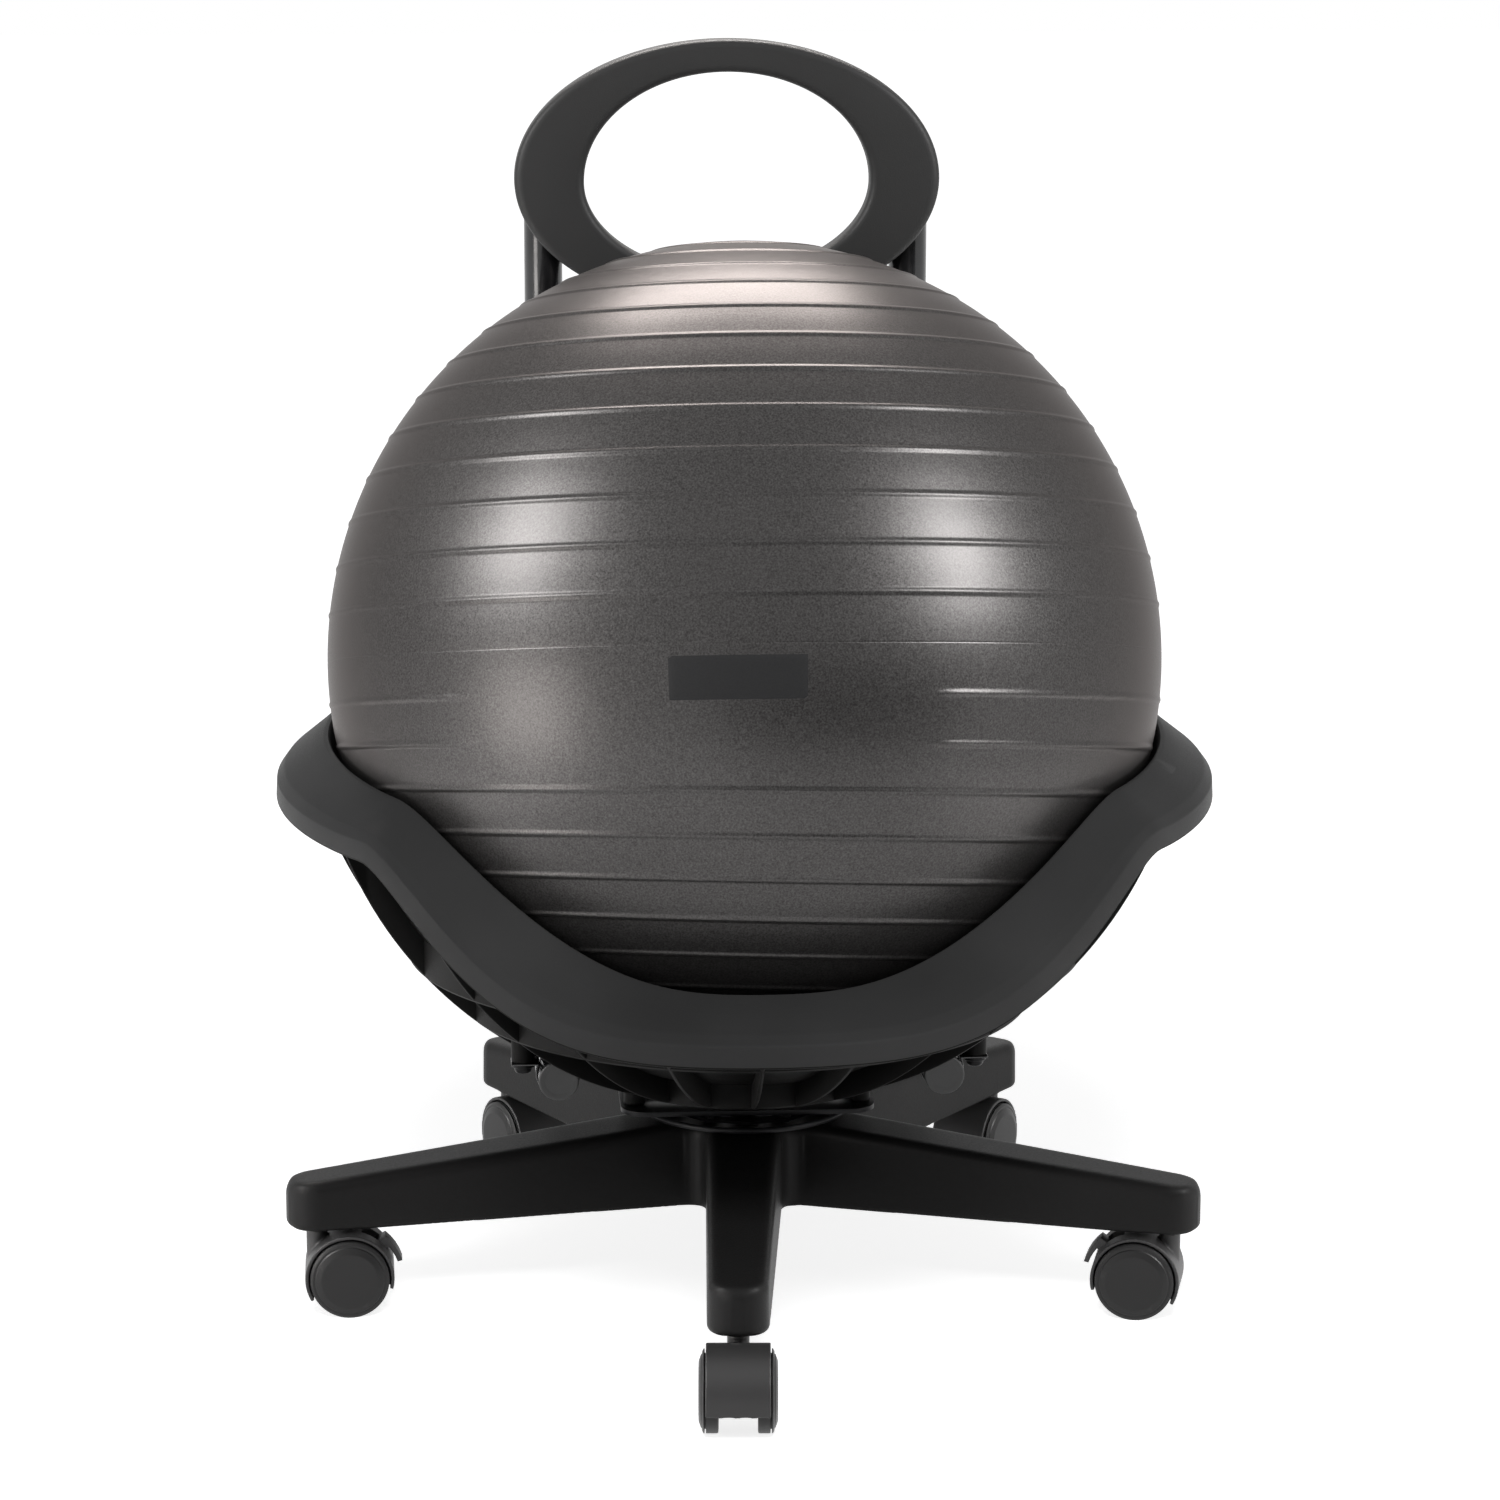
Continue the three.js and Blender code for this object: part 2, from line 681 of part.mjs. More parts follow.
// An upright plate from a side-view outline round the axle, centred on the caster's middle plane.
function sidePlate(points, width) {
  return extrude(outline(points), width)
    .translate(0, 0, -width / 2)
    .rotateX(Math.PI / 2)
    .translate(casterTrail, 0, wheelFlat);
}

function casterHood(braked) {
  const webHalf = wheelInner - hoodWebGap;
  const fender = sector(hoodRadius - hoodWall, hoodRadius, hoodTrailAngle, hoodStemAngle, hoodSteps);
  const webOuter = hoodRadius - hoodWall / 2;
  const web = [];
  for (let i = 0; i <= hoodSteps; i += 1) {
    const angle = lerp(hoodTrailAngle, hoodStemAngle, i / hoodSteps);
    web.push([webOuter * Math.cos(angle), webOuter * Math.sin(angle)]);
  }
  web.push([-hoodWebRadius / 2, -hoodWebRadius / 3], [hoodWebRadius / 2, -hoodWebRadius / 3]);
  const neck = rod(neckRadius, wheelFlat, neckTop, pinSides);
  const axleBore = toAxle(bore(axleRadius, -wheelInner, wheelInner, boreSides));
  const stemBore = bore(stemPinRadius, stemFoot, neckTop + overrun, boreSides);
  const hood = join(sidePlate(fender, hoodWidth), sidePlate(web, 2 * webHalf), neck);
  if (!braked) return cut(hood, axleBore, stemBore);
  const slot = sector(leverSlotDepth, hoodRadius + overrun, leverSlotStart, leverSlotEnd, 3);
  const slotWidth = leverWidth + 2 * leverSideGap;
  const pin = bore(leverPinRadius, -webHalf - overrun, webHalf + overrun, boreSides);
  return cut(hood, axleBore, stemBore, sidePlate(slot, slotWidth), atLeverPivot(pin));
}

function atLeverPivot(geometry) {
  const x = leverPivotRadius * Math.cos(leverPivotAngle);
  const z = leverPivotRadius * Math.sin(leverPivotAngle);
  return toAxle(geometry).translate(x, 0, z);
}

// A thumb lever that hugs the hood's outside, on a pin between the wheels.
function brakeLever() {
  const steps = 4;
  const pad = [];
  const inner = hoodRadius + leverPadGap;
  const outerAt = (share) => inner + leverPadThickness + leverPadFlare * (1 - share);
  for (let i = 0; i <= steps; i += 1) {
    const angle = lerp(leverPadStart, leverPadEnd, i / steps);
    const radius = outerAt(i / steps);
    pad.push([radius * Math.cos(angle), radius * Math.sin(angle)]);
  }
  const shankHalf = leverShank / 2 / leverPivotRadius;
  [leverPivotAngle + shankHalf, leverPivotAngle - shankHalf].forEach((angle) => {
    pad.push([leverPivotRadius * Math.cos(angle), leverPivotRadius * Math.sin(angle)]);
  });
  for (let i = steps - 1; i >= 0; i -= 1) {
    const angle = lerp(leverPadStart, leverPivotAngle - shankHalf, i / steps);
    const radius = inner + leverPadFlare * (1 - i / steps);
    pad.push([radius * Math.cos(angle), radius * Math.sin(angle)]);
  }
  const pinHalf = leverWidth / 2 + leverPinOverhang - seatGap;
  const pin = atLeverPivot(rod(leverPinRadius, -pinHalf, pinHalf, screwSides));
  return join(sidePlate(pad, leverWidth), pin);
}

function lowerSwivelPlate() {
  const rim = [];
  const rimSteps = 4;
  const rimCentre = lowerPlateFoot + lowerPlateDish + rolledRimRadius;
  for (let i = 0; i <= rimSteps; i += 1) {
    const angle = lerp(-Math.PI / 2, Math.PI, i / rimSteps);
    rim.push([
      lowerPlateRadius + rolledRimRadius * Math.cos(angle),
      rimCentre + rolledRimRadius * Math.sin(angle),
    ]);
  }
  const inner = boreRadius(pivotRadius, plateSides);
  const plate = revolve(
    [
      [inner, lowerPlateFoot],
      [lowerPlateFlatRadius, lowerPlateFoot],
      ...rim,
      [lowerPlateFlatRadius, lowerPlateTop],
      [inner, lowerPlateTop],
      [inner, lowerPlateFoot],
    ],
    plateSides,
  );
  const holes = boltPlaces().map(([x, y]) =>
    bore(hubBoltRadius, hubTopHeight, lowerPlateTop + overrun, screwSides).translate(x, y, 0),
  );
  return cut(plate, ...holes);
}

function upperSwivelPlate() {
  const x = upperPlateHalfLength;
  const y = upperPlateHalfWidth;
  const corner = upperPlateCorner;
  const plan = new THREE.Shape();
  plan.absarc(x - corner, -y + corner, corner, -Math.PI / 2, 0, false);
  plan.absarc(x - corner, y - corner, corner, 0, Math.PI / 2, false);
  plan.absarc(-x + corner, y - corner, corner, Math.PI / 2, Math.PI, false);
  plan.absarc(-x + corner, -y + corner, corner, Math.PI, (3 * Math.PI) / 2, false);
  plan.holes.push(new THREE.Path().absarc(0, 0, boreRadius(pivotRadius, boreSides), 0, turn, true));
  bowlScrewPlaces.forEach(([px, py]) => {
    plan.holes.push(new THREE.Path().absarc(px, py, boreRadius(bowlScrewRadius, boreSides), 0, turn, true));
  });
  return extrude(plan, upperPlateWall, boreSides / 2).translate(0, 0, upperPlateFoot);
}

function ballRace() {
  const inner = raceRadius - cageWidth / 2;
  const outer = raceRadius + cageWidth / 2;
  const low = raceCentre - cageWall / 2;
  const high = raceCentre + cageWall / 2;
  const cage = revolve([[inner, low], [outer, low], [outer, high], [inner, high], [inner, low]], 2 * raceBallCount);
  const balls = [];
  for (let i = 0; i < raceBallCount; i += 1) {
    const ball = new THREE.SphereGeometry(raceBallRadius, 6, 4);
    balls.push(ball.rotateX(Math.PI / 2).translate(raceRadius, 0, raceCentre).rotateZ((turn * i) / raceBallCount));
  }
  return join(cage, ...balls);
}

function pivotRivet() {
  const footTop = hubTopHeight;
  const headFoot = upperPlateTop + seatGap;
  return revolve(
    [
      [0, footTop - pivotFootHeight],
      [pivotFootRadius, footTop - pivotFootHeight],
      [pivotFootRadius, footTop],
      [pivotRadius, footTop],
      [pivotRadius, headFoot],
      [pivotHeadRadius, headFoot],
      [pivotHeadRadius, headFoot + pivotHeadHeight / 2],
      [pivotRadius, headFoot + pivotHeadHeight],
      [0, headFoot + pivotHeadHeight],
    ],
    2 * screwSides,
  );
}

// A screw along Z with its head below: the shank runs up from the head's top face at height zero.
function screw(headRadius, headHeight, radius, length, sideCount = screwSides) {
  return revolve(
    [
      [0, -headHeight],
      [headRadius * (1 - headHeight / (2 * headRadius)), -headHeight],
      [headRadius, -headHeight / 2],
      [headRadius, 0],
      [radius, 0],
      [radius, length],
      [0, length],
    ],
    sideCount,
  );
}

// Back tubes: stations of the route in the tube's own upright plane, with a few on each bend.
function bend(before, corner, after, radius, steps) {
  const into = corner.clone().sub(before).normalize();
  const out = after.clone().sub(corner).normalize();
  const swing = Math.acos(into.dot(out));
  const reach = radius * Math.tan(swing / 2);
  const start = corner.clone().addScaledVector(into, -reach);
  const towards = out.clone().addScaledVector(into, -into.dot(out)).normalize();
  const stations = [];
  for (let i = 0; i <= steps; i += 1) {
    const angle = (swing * i) / steps;
    const station = start.clone().addScaledVector(into, radius * Math.sin(angle));
    stations.push(station.addScaledVector(towards, radius * (1 - Math.cos(angle))));
  }
  return stations;
}

class TubeRoute extends THREE.Curve {
  constructor(stations) {
    super();
    this.stations = stations;
  }
  getUtoTmapping(u) {
    return u;
  }
  getPoint(t, target = new THREE.Vector3()) {
    const spans = this.stations.length - 1;
    const i = Math.min(Math.floor(t * spans), spans - 1);
    return target.lerpVectors(this.stations[i], this.stations[i + 1], t * spans - i);
  }
  getTangent(t, target = new THREE.Vector3()) {
    const spans = this.stations.length - 1;
    const i = Math.round(t * spans);
    const ahead = this.stations[Math.min(i + 1, spans)];
    const behind = this.stations[Math.max(i - 1, 0)];
    const here = this.stations[i];
    const forward = ahead.clone().sub(here).normalize();
    const back = here.clone().sub(behind).normalize();
    return target.copy(forward).add(back).normalize();
  }
}

function tubeStations(side) {
  const at = (y, z) => new THREE.Vector3(side * tubeHalfSpacing, y, z);
  const front = at(-tubeFrontReach + endCapThickness, tubeRunHeight);
  const rear = at(tubeRearReach, tubeRunHeight);
  const lean = at(tubeRearReach, tubeRunHeight + tubeLeanRise);
  const upper = at(tubeTopReach, tubeRunHeight + tubeTopBendRise);
  const top = at(tubeTopReach, tubeTopHeight);
  return [
    front,
    ...bend(front, rear, lean, tubeBendRadius, tubeBendSteps),
    ...bend(rear, lean, upper, tubeLeanBendRadius, tubeLeanBendSteps),
    ...bend(lean, upper, top, tubeLeanBendRadius, tubeLeanBendSteps),
    top,
  ];
}

function backTube(side) {
  const route = new TubeRoute(tubeStations(side));
  const section = new THREE.Shape();
  section.absarc(0, 0, tubeRadius, 0, turn, false);
  section.holes.push(new THREE.Path().absarc(0, 0, tubeRadius - tubeWall, 0, turn, true));
  const tube = new THREE.ExtrudeGeometry(section, {
    steps: route.stations.length - 1,
    curveSegments: tubeSides / 2,
    extrudePath: route,
  });
  const holes = ringScrewHeights.map((height) => {
    const hole = bore(ringScrewRadius, -tubeRadius - overrun, tubeRadius + overrun, screwSides);
    return hole.rotateX(Math.PI / 2).translate(side * tubeHalfSpacing, tubeTopReach, height);
  });
  return cut(tube, ...holes);
}

function tubeEndCap() {
  const face = -tubeFrontReach;
  const seat = face + endCapThickness - seatGap;
  const plugRadius = (tubeRadius - tubeWall) * Math.cos(Math.PI / tubeSides) - seatGap;
  const cap = revolve(
    [
      [0, face],
      [tubeRadius - endCapThickness / 3, face],
      [tubeRadius, face + endCapThickness / 3],
      [tubeRadius, seat],
      [plugRadius, seat],
      [plugRadius, seat + endCapPlugLength],
      [0, seat + endCapPlugLength],
    ],
    tubeSides,
  );
  return cap.rotateX(-Math.PI / 2);
}

// A strap clamp seen along the tube: the ear points to +X, the toe closes the inboard side.
function clampStrap() {
  const inner = boreRadius(tubeRadius, clampSides);
  const outer = inner + clampWall;
  const plan = new THREE.Shape();
  const earFoot = clampEarHeight;
  const earTop = clampEarHeight + clampWall;
  const earEnd = clampEarOffset + clampEarOverhang;
  const earAngleIn = Math.asin(earTop / inner);
  const earAngleOut = Math.asin(earFoot / outer);
  plan.moveTo(earEnd, earFoot);
  plan.lineTo(earEnd, earTop);
  plan.lineTo(inner * Math.cos(earAngleIn), earTop);
  plan.absarc(0, 0, inner, earAngleIn, -Math.PI, true);
  plan.lineTo(-inner, clampToeHeight);
  plan.lineTo(-outer, clampToeHeight);
  plan.absarc(0, 0, outer, -Math.PI, earAngleOut, false);
  const strap = extrude(plan, clampWidth, clampSides / 4).translate(0, 0, -clampWidth / 2).rotateX(Math.PI / 2);
  const hole = bore(clampScrewRadius, earFoot - overrun, earTop + overrun, screwSides);
  return cut(strap, hole.translate(clampEarOffset, 0, 0));
}

function clampScrew() {
  return revolve(
    [
      [0, -clampFlangeHeight - clampHeadHeight],
      [clampHeadRadius, -clampFlangeHeight - clampHeadHeight],
      [clampHeadRadius, -clampFlangeHeight],
      [clampFlangeRadius, -clampFlangeHeight],
      [clampFlangeRadius, 0],
      [clampScrewRadius, 0],
      [clampScrewRadius, clampScrewLength],
      [0, clampScrewLength],
    ],
    pinSides,
  );
}

// Half of an ellipse, as points from one end of its long axis to the other.
function halfEllipse(halfWidth, height, centre, up) {
  const points = [];
  for (let i = 0; i < ringCurveSteps; i += 1) {
    const angle = (Math.PI * i) / ringCurveSteps;
    const sign = up ? 1 : -1;
    points.push([sign * halfWidth * Math.cos(angle), centre + sign * height * Math.sin(angle)]);
  }
  return points;
}

function backRing() {
  const plan = outline([
    ...halfEllipse(ringHalfWidth - ringEdge, ringUpperHeight - ringEdge, ringCentreHeight, true),
    ...halfEllipse(ringHalfWidth - ringEdge, ringLowerHeight - ringEdge, ringCentreHeight, false),
  ]);
  const hole = outline([
    ...halfEllipse(ringHoleHalfWidth + ringEdge, ringHoleUpperHeight + ringEdge, ringHoleCentreHeight, true),
    ...halfEllipse(ringHoleHalfWidth + ringEdge, ringHoleLowerHeight + ringEdge, ringHoleCentreHeight, false),
  ]);
  plan.holes.push(new THREE.Path(hole.getPoints()));
  const ring = new THREE.ExtrudeGeometry(plan, {
    depth: ringThickness - 2 * ringEdge,
    bevelThickness: ringEdge,
    bevelSize: ringEdge,
    bevelSegments: ringBevelSteps,
  });
  const front = ringFrontReach + ringThickness - ringEdge;
  ring.rotateX(Math.PI / 2).translate(0, front, 0);
  const tools = [];
  sides.forEach((side) => {
    const x = side * tubeHalfSpacing;
    const foot = ringCentreHeight - ringLowerHeight;
    const groove = bore(tubeRadius, foot, tubeTopHeight + seatGap, tubeSides);
    tools.push(groove.translate(x, tubeTopReach, 0));
    ringScrewHeights.forEach((height) => {
      const depth = tubeTopReach - tubeRadius - ringScrewBite - seatGap;
      const hole = bore(ringScrewRadius, depth, tubeTopReach, screwSides);
      tools.push(hole.rotateX(-Math.PI / 2).translate(x, 0, height));
    });
  });
  return cut(ring, ...tools);
}

// The ball is a skin with air inside. A thick boss behind its skin at the back holds the valve plug.
function exerciseBall() {
  const skin = (radius) => {
    const profile = [];
    for (let i = 0; i <= ballBands; i += 1) profile.push(onSphere(radius, (Math.PI * i) / ballBands));
    return revolve(profile, ballSides);
  };
  const shell = cut(skin(ballRadius), skin(ballRadius - ballWall));
  const bossFoot = valveSeatHeight - valveBossLength;
  const boss = toValve(rod(valveBossRadius, bossFoot, ballRadius - ballWall - ballWall / 2, 2 * boreSides));
  const hole = toValve(bore(valveRadius, bossFoot - overrun, ballRadius, 2 * boreSides));
  const recess = toValve(bore(valveFlangeRadius, valveSeatHeight - seatGap, ballRadius + overrun, 2 * boreSides));
  return cut(join(shell, boss), hole, recess);
}

// Turns a piece that was drawn along Z from the ball's centre to point to the back.
function toValve(geometry) {
  return geometry.rotateX(-Math.PI / 2).translate(0, 0, ballCentreHeight);
}

function valvePlug() {
  const plug = revolve(
    [
      [0, valveSeatHeight - valveLength],
      [valveRadius - 2 * seatGap, valveSeatHeight - valveLength],
      [valveRadius, valveSeatHeight],
      [valveFlangeRadius, valveSeatHeight],
      [valveFlangeRadius, valveSeatHeight + valveFlangeThickness],
      [0, valveSeatHeight + valveFlangeThickness],
    ],
    2 * screwSides,
  );
  return toValve(plug);
}

function mesh(name, geometry, material) {
  const made = new THREE.Mesh(geometry, material);
  made.name = name;
  return made;
}

function baseGroup() {
  const base = new THREE.Group();
  base.add(mesh("star_base", starBase(), materials.basePlastic));
  const names = ["front", "right", "rear_right", "rear_left", "left"];
  names.forEach((name, i) => {
    const armAngle = -Math.PI / 2 + (turn * i) / armCount;
    const caster = new THREE.Group();
    caster.position.set(stemCircle * Math.cos(armAngle), stemCircle * Math.sin(armAngle), 0);
    caster.rotation.z = casterTurns[i] - baseYaw;
    const braked = brakedCasters.includes(i);
    caster.add(mesh("caster_stem_" + name, casterStem(), materials.brightSteel));
    caster.add(mesh("caster_hood_" + name, casterHood(braked), materials.casterPlastic));
    caster.add(mesh("caster_axle_" + name, casterAxle(), materials.brightSteel));
    caster.add(mesh("wheel_a_" + name, casterWheel(-1), materials.casterPlastic));
    caster.add(mesh("wheel_b_" + name, casterWheel(1), materials.casterPlastic));
    if (braked) caster.add(mesh("brake_lever_" + name, brakeLever(), materials.casterPlastic));
    base.add(caster);
  });
  base.getObjectByName("star_base").rotation.z = -Math.PI / 2;
  base.rotation.z = baseYaw;
  return base;
}

function swivelGroup() {
  const swivel = new THREE.Group();
  const lower = new THREE.Group();
  lower.rotation.z = baseYaw;
  swivel.add(lower);
  lower.add(mesh("lower_swivel_plate", lowerSwivelPlate(), materials.brightSteel));
  lower.add(mesh("pivot_rivet", pivotRivet(), materials.brightSteel));
  swivel.add(mesh("upper_swivel_plate", upperSwivelPlate(), materials.darkSteel));
  swivel.add(mesh("ball_race", ballRace(), materials.brightSteel));
  boltPlaces().forEach(([x, y], i) => {
    const bolt = screw(plateBoltHeadRadius, plateBoltHeadHeight, hubBoltRadius, hubBoltDepth + lowerPlateWall);
    const made = mesh("hub_bolt_" + (i + 1), bolt.rotateX(Math.PI), materials.darkSteel);
    made.position.set(x, y, lowerPlateTop + seatGap);
    lower.add(made);
  });
  bowlScrewPlaces.forEach(([x, y], i) => {
    const length = upperPlateWall + bowlScrewLength;
    const made = screw(bowlScrewHeadRadius, bowlScrewHeadHeight, bowlScrewRadius, length);
    const screwMesh = mesh("bowl_screw_" + (i + 1), made, materials.darkSteel);
    screwMesh.position.set(x, y, upperPlateFoot - seatGap);
    swivel.add(screwMesh);
  });
  return swivel;
}

function backGroup() {
  const back = new THREE.Group();
  sides.forEach((side) => {
    const name = side < 0 ? "left" : "right";
    back.add(mesh("back_tube_" + name, backTube(side), materials.blackTube));
    const cap = mesh("tube_end_cap_" + name, tubeEndCap(), materials.capPlastic);
    cap.position.set(side * tubeHalfSpacing, 0, tubeRunHeight);
    back.add(cap);
    sides.forEach((end) => {
      const place = (end < 0 ? "front_" : "rear_") + name;
      const strap = mesh("clamp_strap_" + place, clampStrap(), materials.darkSteel);
      strap.position.set(side * tubeHalfSpacing, end * clampReach, tubeRunHeight);
      if (side < 0) strap.rotation.z = Math.PI;
      const bolt = mesh("clamp_screw_" + place, clampScrew(), materials.darkSteel);
      const x = side * (tubeHalfSpacing + clampEarOffset);
      bolt.position.set(x, end * clampReach, tubeRunHeight + clampEarHeight - seatGap);
      back.add(strap, bolt);
    });
    ringScrewHeights.forEach((height, i) => {
      const length = 2 * tubeRadius + ringScrewBite + seatGap;
      const made = screw(ringScrewHeadRadius, ringScrewHeadHeight, ringScrewRadius, length);
      const place = (i === 0 ? "lower_" : "upper_") + name;
      const ringScrew = mesh("ring_screw_" + place, made.rotateX(Math.PI / 2), materials.darkSteel);
      ringScrew.position.set(side * tubeHalfSpacing, tubeTopReach + tubeRadius + seatGap, height);
      back.add(ringScrew);
    });
  });
  back.add(mesh("back_ring", backRing(), materials.ringPlastic));
  return back;
}

const chair = new THREE.Group();
chair.add(baseGroup(), swivelGroup(), backGroup());
chair.add(mesh("seat_bowl", seatBowl(), materials.bowlPlastic));
chair.add(mesh("exercise_ball", exerciseBall(), materials.ballVinyl));
chair.add(mesh("valve_plug", valvePlug(), materials.capPlastic));

// The origin is on the floor, under the middle of the whole chair.
const extent = new THREE.Box3().setFromObject(chair, true);
const middle = extent.getCenter(new THREE.Vector3());
const group = new THREE.Group();
chair.position.set(-middle.x, -middle.y, -extent.min.z);
group.add(chair);

export default group;
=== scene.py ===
"""The looks of a balance ball chair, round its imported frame. Metres, +Z up, the sitter faces -Y."""

import json
from math import acos, atan2, cos, hypot, pi, radians, sin, sqrt, tan

import bmesh
import bpy
import numpy as np
from mathutils import Matrix, Vector
from numpy.linalg import norm


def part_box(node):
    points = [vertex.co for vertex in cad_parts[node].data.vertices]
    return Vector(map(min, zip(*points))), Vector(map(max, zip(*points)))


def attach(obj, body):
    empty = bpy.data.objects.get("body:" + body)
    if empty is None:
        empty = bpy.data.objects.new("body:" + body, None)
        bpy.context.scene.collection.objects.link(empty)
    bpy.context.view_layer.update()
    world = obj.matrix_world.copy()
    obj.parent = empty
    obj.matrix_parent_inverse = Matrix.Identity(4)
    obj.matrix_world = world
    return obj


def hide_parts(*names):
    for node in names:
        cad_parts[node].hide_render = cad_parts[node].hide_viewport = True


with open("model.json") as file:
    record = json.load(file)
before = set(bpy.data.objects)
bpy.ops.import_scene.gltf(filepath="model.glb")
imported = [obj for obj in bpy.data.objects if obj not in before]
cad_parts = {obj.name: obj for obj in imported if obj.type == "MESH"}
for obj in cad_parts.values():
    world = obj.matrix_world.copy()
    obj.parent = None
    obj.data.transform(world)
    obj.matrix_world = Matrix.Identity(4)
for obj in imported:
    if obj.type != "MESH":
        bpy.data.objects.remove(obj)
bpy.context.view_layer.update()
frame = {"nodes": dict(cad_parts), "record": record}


def centre_of(name):
    """The middle of a CAD node's box."""
    return Vector([(low + high) / 2 for low, high in zip(*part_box(name))])


TURN = 2 * pi
TO_REAR = Matrix.Rotation(-pi / 2, 4, "X")
TO_FRONT = Matrix.Rotation(pi / 2, 4, "X")
pivot = centre_of("pivot_rivet")
AXIS = Vector((pivot.x, pivot.y, 0))
ON_AXIS = Matrix.Translation(AXIS)

# Ball
BALL_CENTRE = Vector((AXIS.x, AXIS.y, 0.3977))
BALL_RADIUS = 0.2594
BALL_TILT = radians(13.2)
BALL_YAW = radians(6.6)
BALL_COLUMNS = 288
RIDGE_HEIGHT = 0.0007
RIDGE_HALF_WIDTH = 0.0024
RIDGE_PITCHES = (radians(6.27), radians(6.47))
RIDGES_PER_HALF = 12
RIDGE_ROWS = (-1.35, -0.95, -0.62, -0.3, 0, 0.3, 0.62, 0.95, 1.35)
RIDGE_ROUNDNESS = 1.3
ROWS_BETWEEN = (0.3, 0.5, 0.7)
POLE_ROWS = (0.25, 0.5, 0.75, 0.93)
LOWER_RIDGE_LEAN = 0.07
PLAIN_ZONE = (radians(-35.6), radians(28.2))
PLAIN_ZONE_RIDGES = (-1, -2)
PLAIN_ZONE_FADE = radians(2.5)
SEAM_HEIGHT = -0.00014
SEAM_HALF_WIDTH = 0.0006
LABEL_CENTRE = radians(2.4)
LABEL_HALF_WIDTH = radians(9.0)
LABEL_LATITUDES = (radians(-7.2), radians(-1.4))
LABEL_CELLS = (28, 12)
LABEL_PROUD = 0.0003
LABEL_EDGE_DEPTH = 0.0001
VALVE_DIMPLE = (0.010, 0.019)
VALVE_SINK = 0.005
VALVE_PATCH_RADIUS = 0.0205
VALVE_PATCH_PROUD = 0.0005
VALVE_PATCH_WALL = 0.002
VALVE_LIP = (0.002, 0.005)
VALVE_CLEARANCE = 0.0004
PLUG_FLANGE = 0.0013
PLUG_RECESS = 0.0007

# Seat bowl
BOWL_INNER = 0.2626
BOWL_WALL = 0.0036
BOWL_COLUMNS = 320
BOWL_ROWS = 30
BOWL_POLE_SHARE = 0.15
RIB_ENVELOPE = 0.281
RIB_WALL = 0.0028
RIB_EMBED = 0.0012
RING_WALLS = (0.211, 0.178, 0.088)
RING_WALL_SIDES = 160
FIN_COUNT = 20
FIN_STATIONS = 45
FIN_SKIRT_GAP = 0.0012
TUBE_CRADLE_GAP = 0.0009
RIM_HEIGHTS = (0.2375, 0.344)
RIM_BACK_RISE = 0.369 - RIM_HEIGHTS[1]
RIM_WING_ANGLE = radians(57)
RIM_WING_ONSET = 1.7
RIM_REAR_SOFTNESS = 0.0016
RIM_CREASE = (0.268, 0.292)
CREASE_HEIGHTS = (0.2225, 0.3240)
CREASE_BACK_RISE = 0.0095
CREASE_WING_ANGLE = radians(54.9)
CREASE_WING_ONSET = 2.25
CREASE_SLOPE_SPAN = radians(2)
RIM_SHOULDER = (0.0016, 0.0018)
SKIRT_DEPTH = (0.0140, 0.0118)
SKIRT_FLARE = 0.0006
RIM_SURFACE_SHARES = ((0.4, 0.3), (0.82, 1.0))
RIM_EDGE_RADIUS = 0.0032
RIM_CREASE_RADIUS = 0.0024
RIM_SURFACE_RADIUS = 0.016
SKIRT_EDGE_RADIUS = 0.0012
UNDERSIDE_SLOPE = -0.06
INWARD_SHARE = -0.5
BOSS_HOLE = 0.003
BOSS_MOUTH = 0.004
BOSS_CORNERS = (0.0004, 0.0006, 0.0003, 0.0003)
PLATE_BOSS_RADIUS = 0.007
PLATE_BOSS_GAP = 0.0003
CLAMP_BOSS_RADIUS = 0.0074
CLAMP_BOSS_RISE = 0.0015

# Star base
ARM_COUNT = 5
BASE_YAW = radians(-4.2)
STEM_CIRCLE = 0.279
ARM_ROOT_HALF_WIDTH = 0.025
ARM_TIP_RADIUS = 0.0185
ARM_TOP = (0.105, 0.0852)
ARM_BOTTOM = (0.052, 0.0556)
ARM_FLAT = 0.052
ARM_WALL = 0.0034
ARM_DRAFT = 0.97
ARM_TOP_EDGE = 0.0075
ARM_BOTTOM_EDGE = 0.003
CHANNEL_DRAFT = 0.94
CHANNEL_CORNER = 0.003
CHANNEL_SPAN = (0.006, 0.014)
CHANNEL_STATIONS = 30
TIP_BLOCK_SPAN = 0.016
TIP_BLOCK_STATIONS = 26
TIP_BLOCK_LEAST = 0.004
ARM_RIBS = (0.105, 0.163, 0.221)
ARM_RIB_HALF = 0.0015
ARM_RIB_RAISE = 0.001
ARM_RIB_DRAFT = 0.95
HUB_RADIUS = 0.044
HUB_FLARE = 0.003
HUB_WALL = 0.006
HUB_TOP_WALL = 0.013
HUB_BORE = 0.0085
HUB_RECESS = (0.0125, 0.0045)
HUB_FILLET = 0.010
HUB_FILLET_ROOT = 0.008
HUB_FILLET_CELLS = (9, 17)
BASE_FUSING = (0.0011, 5)

